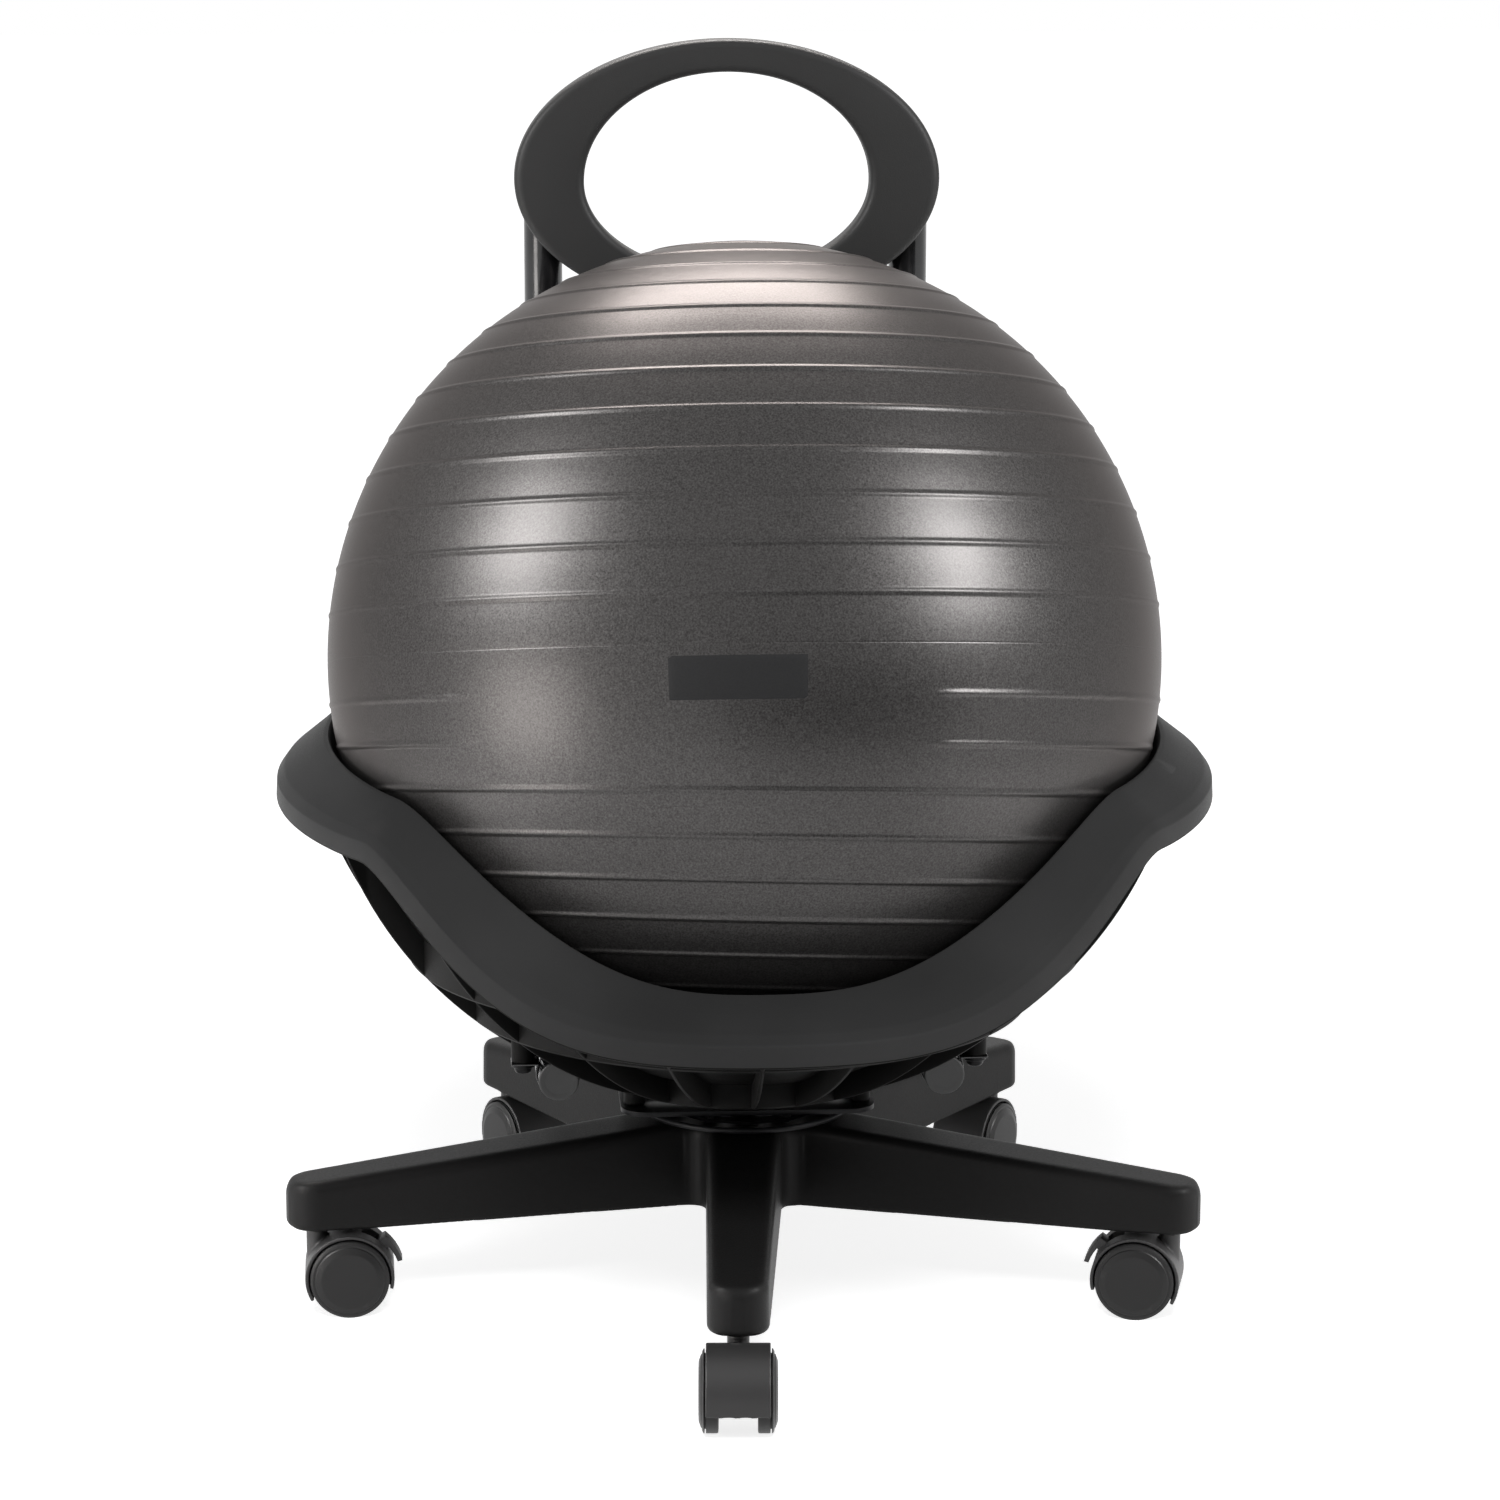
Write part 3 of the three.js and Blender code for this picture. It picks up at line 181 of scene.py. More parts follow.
# Casters
CASTER_NAMES = ("front", "right", "rear_right", "rear_left", "left")
CASTER_TURNS = [radians(a) for a in (-93.5, 166.5, -122.9, -60.8, 1.5)]
BRAKED = ("right", "left")
WHEEL_RADIUS = 0.025
WHEEL_CLEARANCE = 0.0005
AXLE_HEIGHT = WHEEL_RADIUS * cos(pi / 16)
CASTER_TRAIL = 0.020
WHEEL_GAP = 0.0226
CASTER_WIDTH = 0.0474
TREAD_SHOULDER = 0.0036
WHEEL_GROOVE_INSET = 0.0002
WHEEL_CORNERS = (
    0.0006, 0.0006, 0.0006, 0.0006, 0.001, 0.0008, 0.001, 0.0003, 0.0002, 0.0002,
    0.0003, 0.0004, 0.0005, 0.0003, 0.0004, 0.0012, 0.0008,
)
HOOD_RADIUS = 0.0277
HOOD_WALL = 0.0022
HOOD_WIDTH = 0.0377
HOOD_SPAN = (radians(-15), radians(210))
HOOD_STEPS = 60
HOOD_FUSING = (0.0006, 4)
WEB_FOOT = (0.0117, -0.0078)
WEB_CLEARANCE = 0.0009
NECK_RADIUS = 0.0066
SLOT_SPAN = (radians(31), radians(74))
SLOT_REACH = (0.013, HOOD_RADIUS + 0.004)
SLOT_HALF_WIDTH = 0.007
SLOT_STEPS = 6

# Back tubes and ring
SIDES = ((-1, "left"), (1, "right"))
TUBE_RADIUS = 0.0125
TUBE_WALL = 0.0015
TUBE_SIDES = 48
TUBE_BEND_STATIONS = 21
TUBE_SPACING = 0.1197
TUBE_RUN_HEIGHT = 0.1477
TUBE_FRONT = -0.074
TUBE_REAR = 0.290
TUBE_BEND = 0.070
TUBE_LEAN_HEIGHT = 0.394
TUBE_TOP_BEND_HEIGHT = 0.594
TUBE_LEAN_BEND = 0.150
TUBE_TOP_REACH = 0.2065
TUBE_TOP_HEIGHT = 0.6932
CAP_RIM = 0.0027
CAP_FIT = 0.0004
CLAMP_REACH = 0.050
CLAMP_EAR_OFFSET = 0.0217
CLAMP_EAR_HEIGHT = 0.0048
RING_HALF_WIDTH = 0.1384
RING_HEIGHTS = (0.0902, 0.0862)
RING_CENTRE = 0.6782
RING_COLUMNS = 256
HOLE_HALF_WIDTH = 0.0931
HOLE_HEIGHTS = (0.0705, 0.0604)
HOLE_CENTRE = 0.6769
RING_FRONT = 0.180
RING_THICKNESS = 0.024
RING_CROWN = 0.0008
RING_EDGE = 0.0062
RING_BACK_EDGE = RING_EDGE * 0.8
RING_SCREW_HEIGHTS = (0.652, 0.682)
GROOVE_FOOT = 0.58
GROOVE_CLEARANCES = (0.0004, 0.0005)

# Screws: head radius and height, shank radius and length, flange radius
CLAMP_SCREW = (0.0056, 0.006, 0.0025, 0.014, 0.0072)
RING_SCREW = (0.005, 0.0026, 0.0025, 0.036, None)
PLATE_SCREW_HEAD = (0.004, 0.0026, 0.0025)
SCREW_SIDES = 60
SCREW_SEAT_GAP = 0.0003

# Swivel
DISH_FLOOR_RADIUS = 0.056
DISH_BORE = 0.0084
DISH_WALL = 0.0024
DISH_BEAD = 0.0019
DISH_BEAD_SWEEP = (radians(-110), radians(180), 9)
RIVET_CORNERS = (0.0008, 0.0005, 0.0003, 0.0003, 0.0005, 0.001, 0.001)

# Camera and light
WHITE = (1, 1, 1, 1)
CAMERA_PLACE = Vector((-0.1734, -2.8799, 0.9736))
CAMERA_HEADING = Vector((0.061, 0.998, 0)).normalized()
CAMERA_PITCH = radians(12.353)
CAMERA_LENS = 113.55
CAMERA_SENSOR = 36
CARD_ANGLE = radians(24)
CARD_DISTANCE = 1.7
CARD_SIZE = (1.9, 0.62)
CARD_RISE = -0.06
FLOOR_SIZE = 12
FLOOR_GREY = (0.35, 0.8)
FLOOR_GLOW = (0.80, 1.0)
FLOOR_GLOW_REACH = (0.4, 1.3)
WORLD_FILL = 0.18
# Name, direction (right, up, towards the camera), distance, size, watts, colour,
# and whether it gives the sheen or else lights the dull surfaces
LAMPS = (
    ("left_box", (-0.80, 0.43, 0.40), 2.2, (0.75, 0.9), 55, (1.0, 0.995, 0.99), True),
    ("left_low_box", (-0.82, -0.20, 0.56), 1.3, (0.50, 0.44), 6.0, (1.0, 0.96, 0.93), True),
    ("right_box", (0.80, 0.40, 0.47), 2.2, (0.55, 0.9), 55, (1.0, 1.0, 1.0), True),
    ("top_box", (-0.04, 0.92, -0.37), 2.0, (1.2, 0.50), 66, (1.0, 0.95, 0.92), True),
    ("soft_top", (-0.04, 0.50, 0.86), 2.4, (1.2, 0.8), 52, (1.0, 1.0, 1.0), False),
    ("left_strip", (-0.90, -0.40, 0.10), 1.0, (1.0, 0.10), 12, (1.0, 0.99, 0.98), False),
    ("right_strip", (0.90, -0.40, 0.10), 1.0, (1.0, 0.10), 10, (1.0, 0.99, 0.98), False),
)

# Ranges of the materials' textures
NOISE_SPAN = (0.3, 0.7)
EDGE_SPAN = (0.53, 0.62)


# Numbers
def smoothstep(x):
    x = np.clip(x, 0, 1)
    return x * x * (3 - 2 * x)


def mix(pair, share):
    return pair[0] + (pair[1] - pair[0]) * share


def around(count):
    """Evenly spaced angles of a whole turn."""
    return [TURN * i / count for i in range(count)]


def turn_z(angle):
    return Matrix.Rotation(angle, 4, "Z")


# Node helpers
def node(tree, kind, **settings):
    made = tree.nodes.new("ShaderNode" + kind)
    for key, value in settings.items():
        if key in made.inputs:
            made.inputs[key].default_value = value
        else:
            setattr(made, key, value)
    return made


def wire(tree, *links):
    for source, target in links:
        tree.links.new(source, target)


def texture(tree, scale, kind="TexNoise", **settings):
    place = tree.nodes.get("Place") or node(tree, "TexCoord", name="Place")
    made = node(tree, kind, Scale=scale, **settings)
    wire(tree, (place.outputs["Object"], made.inputs["Vector"]))
    return made


def ranged(tree, source, span, limits, target, **settings):
    """Maps a value from a span to limits and feeds a socket with it."""
    made = node(tree, "MapRange", **settings)
    for key, value in zip(("From Min", "From Max", "To Min", "To Max"), (*span, *limits)):
        made.inputs[key].default_value = value
    wire(tree, (source, made.inputs["Value"]), (made.outputs["Result"], target))


def vary(tree, source, middle, below, above, shader):
    """Lets a texture vary the roughness round its middle."""
    limits = (middle - below, middle + above)
    ranged(tree, source.outputs["Fac"], NOISE_SPAN, limits, shader.inputs["Roughness"])


def two_tone(tree, source, first, second, target):
    """Blends two colours by a texture and feeds a socket with the result."""
    ramp = node(tree, "ValToRGB")
    for element, position, color in zip(ramp.color_ramp.elements, NOISE_SPAN, (first, second)):
        element.position = position
        element.color = (*color, 1)
    wire(tree, (source.outputs["Fac"], ramp.inputs["Fac"]), (ramp.outputs["Color"], target))


def grain_bump(tree, shader, layers):
    """Stacks bumps, each given as (texture output, strength, depth)."""
    normal = None
    for source, strength, depth in layers:
        bump = node(tree, "Bump", Strength=strength, Distance=depth)
        wire(tree, (source, bump.inputs["Height"]))
        if normal:
            wire(tree, (normal, bump.inputs["Normal"]))
        normal = bump.outputs["Normal"]
    wire(tree, (normal, shader.inputs["Normal"]))


def shade(color, factor):
    return tuple(min(1.0, c * factor) for c in color)


def set_sockets(shader, **sockets):
    for key, value in sockets.items():
        shader.inputs[key.replace("_", " ")].default_value = value


# Materials
def moulded_plastic(tree, shader, color, roughness, grain_scale, grain_strength, level):
    """A moulded plastic: spark-eroded grain, slow colour drift, slightly worn bright edges."""
    set_sockets(shader, Specular_IOR_Level=level)
    grain = texture(tree, grain_scale, Detail=3.0, Roughness=0.6)
    fine = texture(tree, grain_scale * 1.7, "TexVoronoi")
    drift = texture(tree, 9.0, Detail=2.0)
    edge = node(tree, "NewGeometry")
    worn = node(tree, "Mix", data_type="RGBA")
    worn.inputs[7].default_value = (*shade(color, 1.9), 1)
    two_tone(tree, drift, shade(color, 0.86), shade(color, 1.16), worn.inputs[6])
    ranged(tree, edge.outputs["Pointiness"], EDGE_SPAN, (0.0, 0.55), worn.inputs[0])
    wire(tree, (worn.outputs[2], shader.inputs["Base Color"]))
    vary(tree, grain, roughness, 0.05, 0.07, shader)
    grain_bump(tree, shader, [
        (grain.outputs["Fac"], grain_strength, 0.0003),
        (fine.outputs["Distance"], grain_strength * 0.5, 0.00015),
    ])


def pearl_vinyl(tree, shader, color, roughness, tint):
    """Dark pearl vinyl: fine metallic speckle, faint cloudy drift, satin sheen."""
    set_sockets(shader, Metallic=0.8, Specular_IOR_Level=0.3, Specular_Tint=(*tint, 1))
    speckle = texture(tree, 850.0, Detail=2.0, Roughness=0.7)
    cloud = texture(tree, 5.0, Detail=3.0)
    mixed = node(tree, "Mix", data_type="RGBA", blend_type="MULTIPLY")
    mixed.inputs[0].default_value = 1.0
    two_tone(tree, cloud, shade(color, 0.93), shade(color, 1.08), mixed.inputs[6])
    two_tone(tree, speckle, (0.5, 0.49, 0.49), (1.15, 1.15, 1.15), mixed.inputs[7])
    wire(tree, (mixed.outputs[2], shader.inputs["Base Color"]))
    vary(tree, speckle, roughness, 0.05, 0.05, shader)
    grain_bump(tree, shader, [
        (speckle.outputs["Fac"], 0.16, 0.00025),
        (cloud.outputs["Fac"], 0.25, 0.0012),
    ])


def label_print(tree, shader, color, roughness):
    """The bare printed panel: dull ink with a faint weave."""
    set_sockets(shader, Specular_IOR_Level=0.2)
    weave = texture(tree, 1100.0, Detail=2.0)
    two_tone(tree, weave, shade(color, 0.85), shade(color, 1.2), shader.inputs["Base Color"])
    grain_bump(tree, shader, [(weave.outputs["Fac"], 0.1, 0.0002)])


def powder_coat(tree, shader, color, roughness, coat, level):
    """Black powder coat with its faint orange peel."""
    set_sockets(shader, Coat_Weight=coat, Coat_Roughness=0.08, Specular_IOR_Level=level)
    peel = texture(tree, 420.0, Detail=1.0)
    dust = texture(tree, 60.0, Detail=4.0)
    two_tone(tree, dust, shade(color, 0.8), shade(color, 1.5), shader.inputs["Base Color"])
    vary(tree, dust, roughness, 0.04, 0.07, shader)
    grain_bump(tree, shader, [(peel.outputs["Fac"], 0.12, 0.0004)])


def plated_steel(tree, shader, color, roughness):
    """Zinc-plated steel: cloudy passivation and fine drawn lines."""
    set_sockets(shader, Metallic=1.0)
    cloud = texture(tree, 70.0, Detail=4.0)
    lines = texture(tree, 240.0, "TexWave", Distortion=3.0)
    two_tone(tree, cloud, shade(color, 0.75), shade(color, 1.1), shader.inputs["Base Color"])
    vary(tree, cloud, roughness, 0.07, 0.1, shader)
    grain_bump(tree, shader, [(lines.outputs["Fac"], 0.04, 0.0001)])


def dressed(name, maker, color, roughness, *values):
    """A new material, its shader dressed by its maker."""
    material = bpy.data.materials.new(name)
    material.use_nodes = True
    tree = material.node_tree
    shader = tree.nodes["Principled BSDF"]
    set_sockets(shader, Base_Color=(*color, 1), Roughness=roughness)
    maker(tree, shader, color, roughness, *values)
    return material


# Name, then the maker, the colour, the roughness and the maker's further values
LOOKS = {
    "base_plastic": (moulded_plastic, (0.009, 0.0088, 0.0088), 0.44, 900.0, 0.32, 0.1),
    # Ribs and underside of the same moulding: less grain, and a much darker colour that is painted shade
    "rib_plastic_painted_shade": (moulded_plastic, (0.006, 0.0059, 0.0058), 0.5, 1100.0, 0.08, 0.05),
    "bowl_plastic": (moulded_plastic, (0.032, 0.032, 0.0322), 0.42, 1100.0, 0.24, 0.02),
    "ring_plastic": (moulded_plastic, (0.022, 0.0218, 0.0218), 0.5, 1000.0, 0.24, 0.2),
    "caster_plastic": (moulded_plastic, (0.020, 0.0195, 0.0198), 0.47, 1300.0, 0.12, 0.4),
    "wheel_plastic": (moulded_plastic, (0.011, 0.0107, 0.0108), 0.40, 1300.0, 0.10, 0.26),
    "cap_plastic": (moulded_plastic, (0.012, 0.012, 0.012), 0.48, 1200.0, 0.12, 0.5),
    "plug_plastic": (moulded_plastic, (0.05, 0.048, 0.047), 0.45, 1200.0, 0.1, 0.5),
    "ball_vinyl": (pearl_vinyl, (0.066, 0.0638, 0.0630), 0.36, (0.58, 0.55, 0.54)),
    "label_print": (label_print, (0.010, 0.010, 0.0105), 0.6),
    "tube_paint": (powder_coat, (0.006, 0.006, 0.0065), 0.2, 0.25, 0.4),
    "swivel_paint": (powder_coat, (0.006, 0.006, 0.0065), 0.36, 0.0, 0.12),
    "dark_steel": (plated_steel, (0.16, 0.155, 0.15), 0.38),
    "bright_steel": (plated_steel, (0.56, 0.56, 0.57), 0.3),
}
materials = {name: dressed(name, *values) for name, values in LOOKS.items()}


# Mesh helpers
def link(name, mesh):
    obj = bpy.data.objects.new(name, mesh)
    bpy.context.scene.collection.objects.link(obj)
    return obj


def smooth(obj, angle=40):
    obj.data.polygons.foreach_set("use_smooth", [True] * len(obj.data.polygons))
    obj.data.set_sharp_from_angle(angle=radians(angle))


def make_object(name, vertices, faces):
    mesh = bpy.data.meshes.new(name)
    mesh.from_pydata([tuple(v) for v in vertices], [], faces)
    work = bmesh.new()
    work.from_mesh(mesh)
    bmesh.ops.remove_doubles(work, verts=work.verts, dist=1e-6)
    bmesh.ops.dissolve_degenerate(work, edges=work.edges, dist=1e-7)
    bmesh.ops.recalc_face_normals(work, faces=work.faces)
    work.to_mesh(mesh)
    work.free()
    obj = link(name, mesh)
    smooth(obj)
    return obj


def grid(rows, closed=True, capped=False, loop=False):
    """Vertices and faces of rows of points: closed joins each row's ends, loop the last row to the first."""
    rows = np.asarray(rows, float)
    count, width = rows.shape[:2]
    vertices = rows.reshape(-1, 3).tolist()
    faces = []
    for i in range(count if loop else count - 1):
        a, b = i * width, ((i + 1) % count) * width
        for j in range(width if closed else width - 1):
            k = (j + 1) % width
            faces.append((a + j, a + k, b + k, b + j))
    for row in (0, count - 1) if capped else ():
        centre = len(vertices)
        vertices.append(rows[row].mean(0).tolist())
        faces += [(row * width + j, row * width + (j + 1) % width, centre) for j in range(width)]
    return vertices, faces


def placed(matrix, vertices):
    return [matrix @ Vector(v) for v in vertices]


def skin(name, rows, matrix=None, **ends):
    """An object over rows of points, placed by a matrix."""
    vertices, faces = grid(rows, **ends)
    if matrix is not None:
        vertices = placed(matrix, vertices)
    return make_object(name, vertices, faces)


def filleted(points, radii, steps=4):
    """A line of 2-D points with an arc at each corner, always with steps + 1 points to a corner."""
    points = [np.asarray(p, float) for p in points]
    line = [points[0]]
    for before, corner, after, radius in zip(points, points[1:], points[2:], radii):
        u, v = before - corner, after - corner
        reach_u, reach_v = norm(u), norm(v)
        u, v = u / reach_u, v / reach_v
        half = acos(max(-1, min(1, float(u @ v)))) / 2
        reach = min(radius / max(tan(half), 1e-6), 0.47 * reach_u, 0.47 * reach_v)
        start, end = corner + u * reach, corner + v * reach
        for i in range(steps + 1):
            t = i / steps
            line.append((1 - t) ** 2 * start + 2 * t * (1 - t) * corner + t ** 2 * end)
    line.append(points[-1])
    return line


def turned(name, profile, sides, matrix, radii=None):
    """A lathe body round Z, whose profile of (radius, height) ends on the axis or closes on itself."""
    if radii is not None:
        profile = filleted(profile, radii)
    on_axis = profile[0][0] == 0
    if on_axis:
        profile = profile[1:-1]
    angles = np.array(around(sides))
    profile = np.asarray(profile, float)
    radius, height = profile[:, :1], profile[:, 1:]
    rows = np.stack([radius * np.sin(angles), -radius * np.cos(angles), height + 0 * angles], axis=2)
    return skin(name, rows, matrix, capped=on_axis, loop=not on_axis)


def merge(name, objects):
    """Joins several objects' meshes into one object."""
    work = bmesh.new()
    for obj in objects:
        work.from_mesh(obj.data)
        bpy.data.objects.remove(obj)
    mesh = bpy.data.meshes.new(name)
    work.to_mesh(mesh)
    work.free()
    made = link(name, mesh)
    smooth(made)
    return made


def applied(obj):
    """Applies the object's modifiers to its mesh."""
    graph = bpy.context.evaluated_depsgraph_get()
    graph.update()
    mesh = bpy.data.meshes.new_from_object(obj.evaluated_get(graph))
    obj.modifiers.clear()
    obj.data = mesh
    return obj


def fused(obj, voxel, rounds):
    """Fuses overlapping closed bodies into one moulding with small fillets where they meet."""
    remesh = obj.modifiers.new("fuse", "REMESH")
    remesh.mode = "VOXEL"
    remesh.voxel_size = voxel
    soften = obj.modifiers.new("soften", "SMOOTH")
    soften.iterations = rounds
    soften.factor = 0.5
    applied(obj)
    obj.data.polygons.foreach_set("use_smooth", [True] * len(obj.data.polygons))
    return obj


def cut(obj, cutter):
    """Takes a closed body out of an object and deletes it."""
    opening = obj.modifiers.new("cut", "BOOLEAN")
    opening.operation = "DIFFERENCE"
    opening.object = cutter
    opening.solver = "EXACT"
    applied(obj)
    bpy.data.objects.remove(cutter)


def place_piece(obj, body, slot, source=None, material=None):
    """Gives a piece its material, by its slot unless another is named, hangs it on its body and hides the
    CAD node that it replaces.
    """
    if obj.data.materials:
        obj.data.materials.clear()
    obj.data.materials.append(materials[material or slot])
    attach(obj, body)
    if source:
        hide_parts(source)


def rounded_copy(source, name, body, slot, width, material=None, segments=3):
    """A CAD node's own form with its edges rounded."""
    mesh = frame["nodes"][source].data.copy()
    copy = link(name, mesh)
    work = bmesh.new()
    work.from_mesh(mesh)
    bmesh.ops.remove_doubles(work, verts=work.verts, dist=1e-6)
    bmesh.ops.dissolve_limit(work, angle_limit=radians(1), verts=work.verts, edges=work.edges)
    work.to_mesh(mesh)
    work.free()
    bevel = copy.modifiers.new("edges", "BEVEL")
    bevel.width = width
    bevel.segments = segments
    bevel.limit_method = "ANGLE"
    bevel.angle_limit = radians(38)
    applied(copy)
    smooth(copy, 50)
    place_piece(copy, body, slot, source, material)


# Ball
def ball_rows():
    """Latitudes of the mesh rows, with each row's share of the ridge's or the seam's height."""
    rows = []
    for number in range(-RIDGES_PER_HALF, RIDGES_PER_HALF + 1):
        centre = number * RIDGE_PITCHES[number > 0]
        half = (RIDGE_HALF_WIDTH if number else SEAM_HALF_WIDTH) / BALL_RADIUS
        for offset in RIDGE_ROWS:
            share = max(0.0, cos(min(1, abs(offset)) * pi / 2)) ** RIDGE_ROUNDNESS
            rows.append((centre + offset * half, share, number))
        if number < RIDGES_PER_HALF:
            following = RIDGE_PITCHES[number >= 0]
            rows += [(centre + following * share, 0.0, None) for share in ROWS_BETWEEN]
    bottom, top = (rows[0][0], -pi / 2), (rows[-1][0], pi / 2)
    below = [(mix(bottom, share), 0.0, None) for share in reversed(POLE_ROWS)]
    above = [(mix(top, share), 0.0, None) for share in POLE_ROWS]
    return below + rows + above


def on_ball(radius, latitude, longitude):
    """Points of the ball before it is tilted, their longitude from its front."""
    flat = radius * np.cos(latitude)
    return flat * np.sin(longitude), -flat * np.cos(longitude), radius * np.sin(latitude)


def ball_matrix():
    return Matrix.Translation(BALL_CENTRE) @ Matrix.Rotation(-BALL_TILT, 4, "X") @ turn_z(-BALL_YAW)


def exercise_ball():
    longitude = np.array(around(BALL_COLUMNS))
    signed = np.arctan2(np.sin(longitude), np.cos(longitude))
    beyond = np.maximum(PLAIN_ZONE[0] - signed, signed - PLAIN_ZONE[1])
    fade = smoothstep(beyond / PLAIN_ZONE_FADE)
    rows = []
    for latitude, share, number in ball_rows():
        lean = LOWER_RIDGE_LEAN * cos(latitude) if latitude < 0 else 0
        leaning = latitude * (1 + lean * np.sin(longitude))
        height = share * (SEAM_HEIGHT if number == 0 else RIDGE_HEIGHT)
        if number in PLAIN_ZONE_RIDGES:
            height = height * fade
        rows.append(np.stack(on_ball(BALL_RADIUS + height, leaning, longitude), axis=1))
    vertices, faces = grid(rows, capped=True)
    points = [valve_dimple(point) for point in placed(ball_matrix(), vertices)]
    ball = make_object("ball_skin", points, faces)
    place_piece(ball, "ball", "ball_vinyl", "exercise_ball")


def valve_dimple(point):
    """Sinks the skin round the valve, under the moulded patch that carries the plug."""
    out = point - BALL_CENTRE
    if out.y < 0:
        return point
    start, end = VALVE_DIMPLE
    sunk = 1 - smoothstep((hypot(out.x, out.z) - start) / (end - start))
    return point - out.normalized() * VALVE_SINK * sunk


def valve_patch():
    """The round patch moulded into the skin, with the mouth that holds the plug."""
    low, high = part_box("valve_plug")
    mouth = (high.x - low.x) / 2 + VALVE_CLEARANCE
    face = high.y - BALL_CENTRE.y - VALVE_CLEARANCE
    inside = (mouth, face - VALVE_SINK / 2)
    profile = [inside, (mouth, face), (mouth + VALVE_LIP[0], face + 0.0001)]
    for share in np.linspace(0, 1, 14):
        reach = mix((mouth + VALVE_LIP[1], VALVE_PATCH_RADIUS), share)
        proud = VALVE_PATCH_PROUD * (1 - share ** 4)
        profile.append((reach, sqrt(BALL_RADIUS ** 2 - reach ** 2) + proud))
    profile += [(VALVE_PATCH_RADIUS, profile[-1][1] - VALVE_PATCH_WALL), inside]
    patch = turned("valve_patch", profile, 96, Matrix.Translation(BALL_CENTRE) @ TO_REAR)
    place_piece(patch, "ball", "ball_vinyl")


def valve_plug():
    low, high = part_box("valve_plug")
    radius = (high.x - low.x) / 2
    depth = high.y - low.y
    profile = [
        (0, -depth), (radius * 0.72, -depth), (radius * 0.78, -PLUG_FLANGE), (radius, -PLUG_FLANGE),
        (radius, -0.0001), (radius * 0.5, 0), (radius * 0.45, -PLUG_RECESS), (radius * 0.2, -PLUG_RECESS),
        (0, -PLUG_RECESS),
    ]
    radii = [0.0005, 0.0002, 0.0003, 0.0005, 0.0004, 0.0003, 0.0003]
    matrix = Matrix.Translation((AXIS.x, high.y, BALL_CENTRE.z)) @ TO_REAR
    plug = turned("valve_stopper", profile, 48, matrix, radii)
    place_piece(plug, "valve", "plug_plastic", "valve_plug")


def blank_label():
    """The printed panel at the front of the ball, left bare."""
    placing = ball_matrix()
    columns, lines = LABEL_CELLS
    rows = []
    for i in range(lines + 1):
        row = []
        for j in range(columns + 1):
            edge = i in (0, lines) or j in (0, columns)
            radius = BALL_RADIUS + (-LABEL_EDGE_DEPTH if edge else LABEL_PROUD)
            longitude = LABEL_CENTRE + LABEL_HALF_WIDTH * (2 * j / columns - 1)
            point = on_ball(radius, mix(LABEL_LATITUDES, i / lines), longitude)
            row.append(tuple(placing @ Vector(point)))
        rows.append(row)
    place_piece(skin("ball_panel", rows, closed=False), "ball", "ball_vinyl", material="label_print")


# Seat bowl
def from_front(azimuth):
    return abs(atan2(sin(azimuth), cos(azimuth)))


def rear_share(away):
    """Rises from nought at the wings to one at the back."""
    past = (away - RIM_WING_ANGLE) / (pi - RIM_WING_ANGLE)
    rear = (past + sqrt(past * past + RIM_REAR_SOFTNESS)) / 2
    return 1 - (1 - min(1, rear)) ** 2


def crease_height(away):
    wing = smoothstep((away / CREASE_WING_ANGLE) ** CREASE_WING_ONSET)
    return mix(CREASE_HEIGHTS, wing) + CREASE_BACK_RISE * rear_share(away)


def on_sphere(radius, angle):
    return (radius * sin(angle), BALL_CENTRE.z - radius * cos(angle))


def sphere_height(radius, reach):
    return BALL_CENTRE.z - sqrt(radius ** 2 - reach ** 2)


def rim_at(azimuth):
    """The rim's section at an azimuth from the front: its angle, inner edge, crease and skirt."""
    away = from_front(azimuth)
    wing = smoothstep((away / RIM_WING_ANGLE) ** RIM_WING_ONSET)
    height = mix(RIM_HEIGHTS, wing) + RIM_BACK_RISE * rear_share(away)
    side = smoothstep(away / (pi / 2))
    angle = acos((BALL_CENTRE.z - height) / BOWL_INNER)
    crease = (mix(RIM_CREASE, wing), crease_height(away))
    rise = crease_height(away + CREASE_SLOPE_SPAN) - crease_height(abs(away - CREASE_SLOPE_SPAN))
    slope = rise / (2 * CREASE_SLOPE_SPAN * crease[0])
    skirt = (crease[0] + SKIRT_FLARE, crease[1] - mix(SKIRT_DEPTH, side) * hypot(1, slope))
    return angle, on_sphere(BOWL_INNER, angle), crease, skirt


def rim_surface(inner, crease, depth, shoulder):
    """The rim's two corners between its inner edge and its crease."""
    chord = np.subtract(crease, inner)
    up = np.array([-chord[1], chord[0]]) / norm(chord)
    return [
        tuple(np.asarray(inner) + chord * along + up * (shoulder * bulge - depth))
        for along, bulge in RIM_SURFACE_SHARES
    ]


def bowl_line(azimuth, depth):
    """The wall's face at a depth below the inner one: the cup's arc, then the rim's corners and radii."""
    angle, inner, crease, skirt = rim_at(azimuth)
    radius = BOWL_INNER + depth
    step = (angle - depth / radius) / (BOWL_ROWS + BOWL_POLE_SHARE)
    arc = [on_sphere(radius, step * (i + BOWL_POLE_SHARE)) for i in range(BOWL_ROWS + 1)]
    shoulder = mix(RIM_SHOULDER, smoothstep(from_front(azimuth) / RIM_WING_ANGLE))
    corners = rim_surface(inner, crease, depth, shoulder)
    corners.append((crease[0] - depth, crease[1] - depth / 2))
    corners.append((skirt[0] - depth, skirt[1]))
    radii = [RIM_EDGE_RADIUS + depth, RIM_SURFACE_RADIUS, RIM_SURFACE_RADIUS / 2, RIM_CREASE_RADIUS - depth]
    return arc, corners, radii


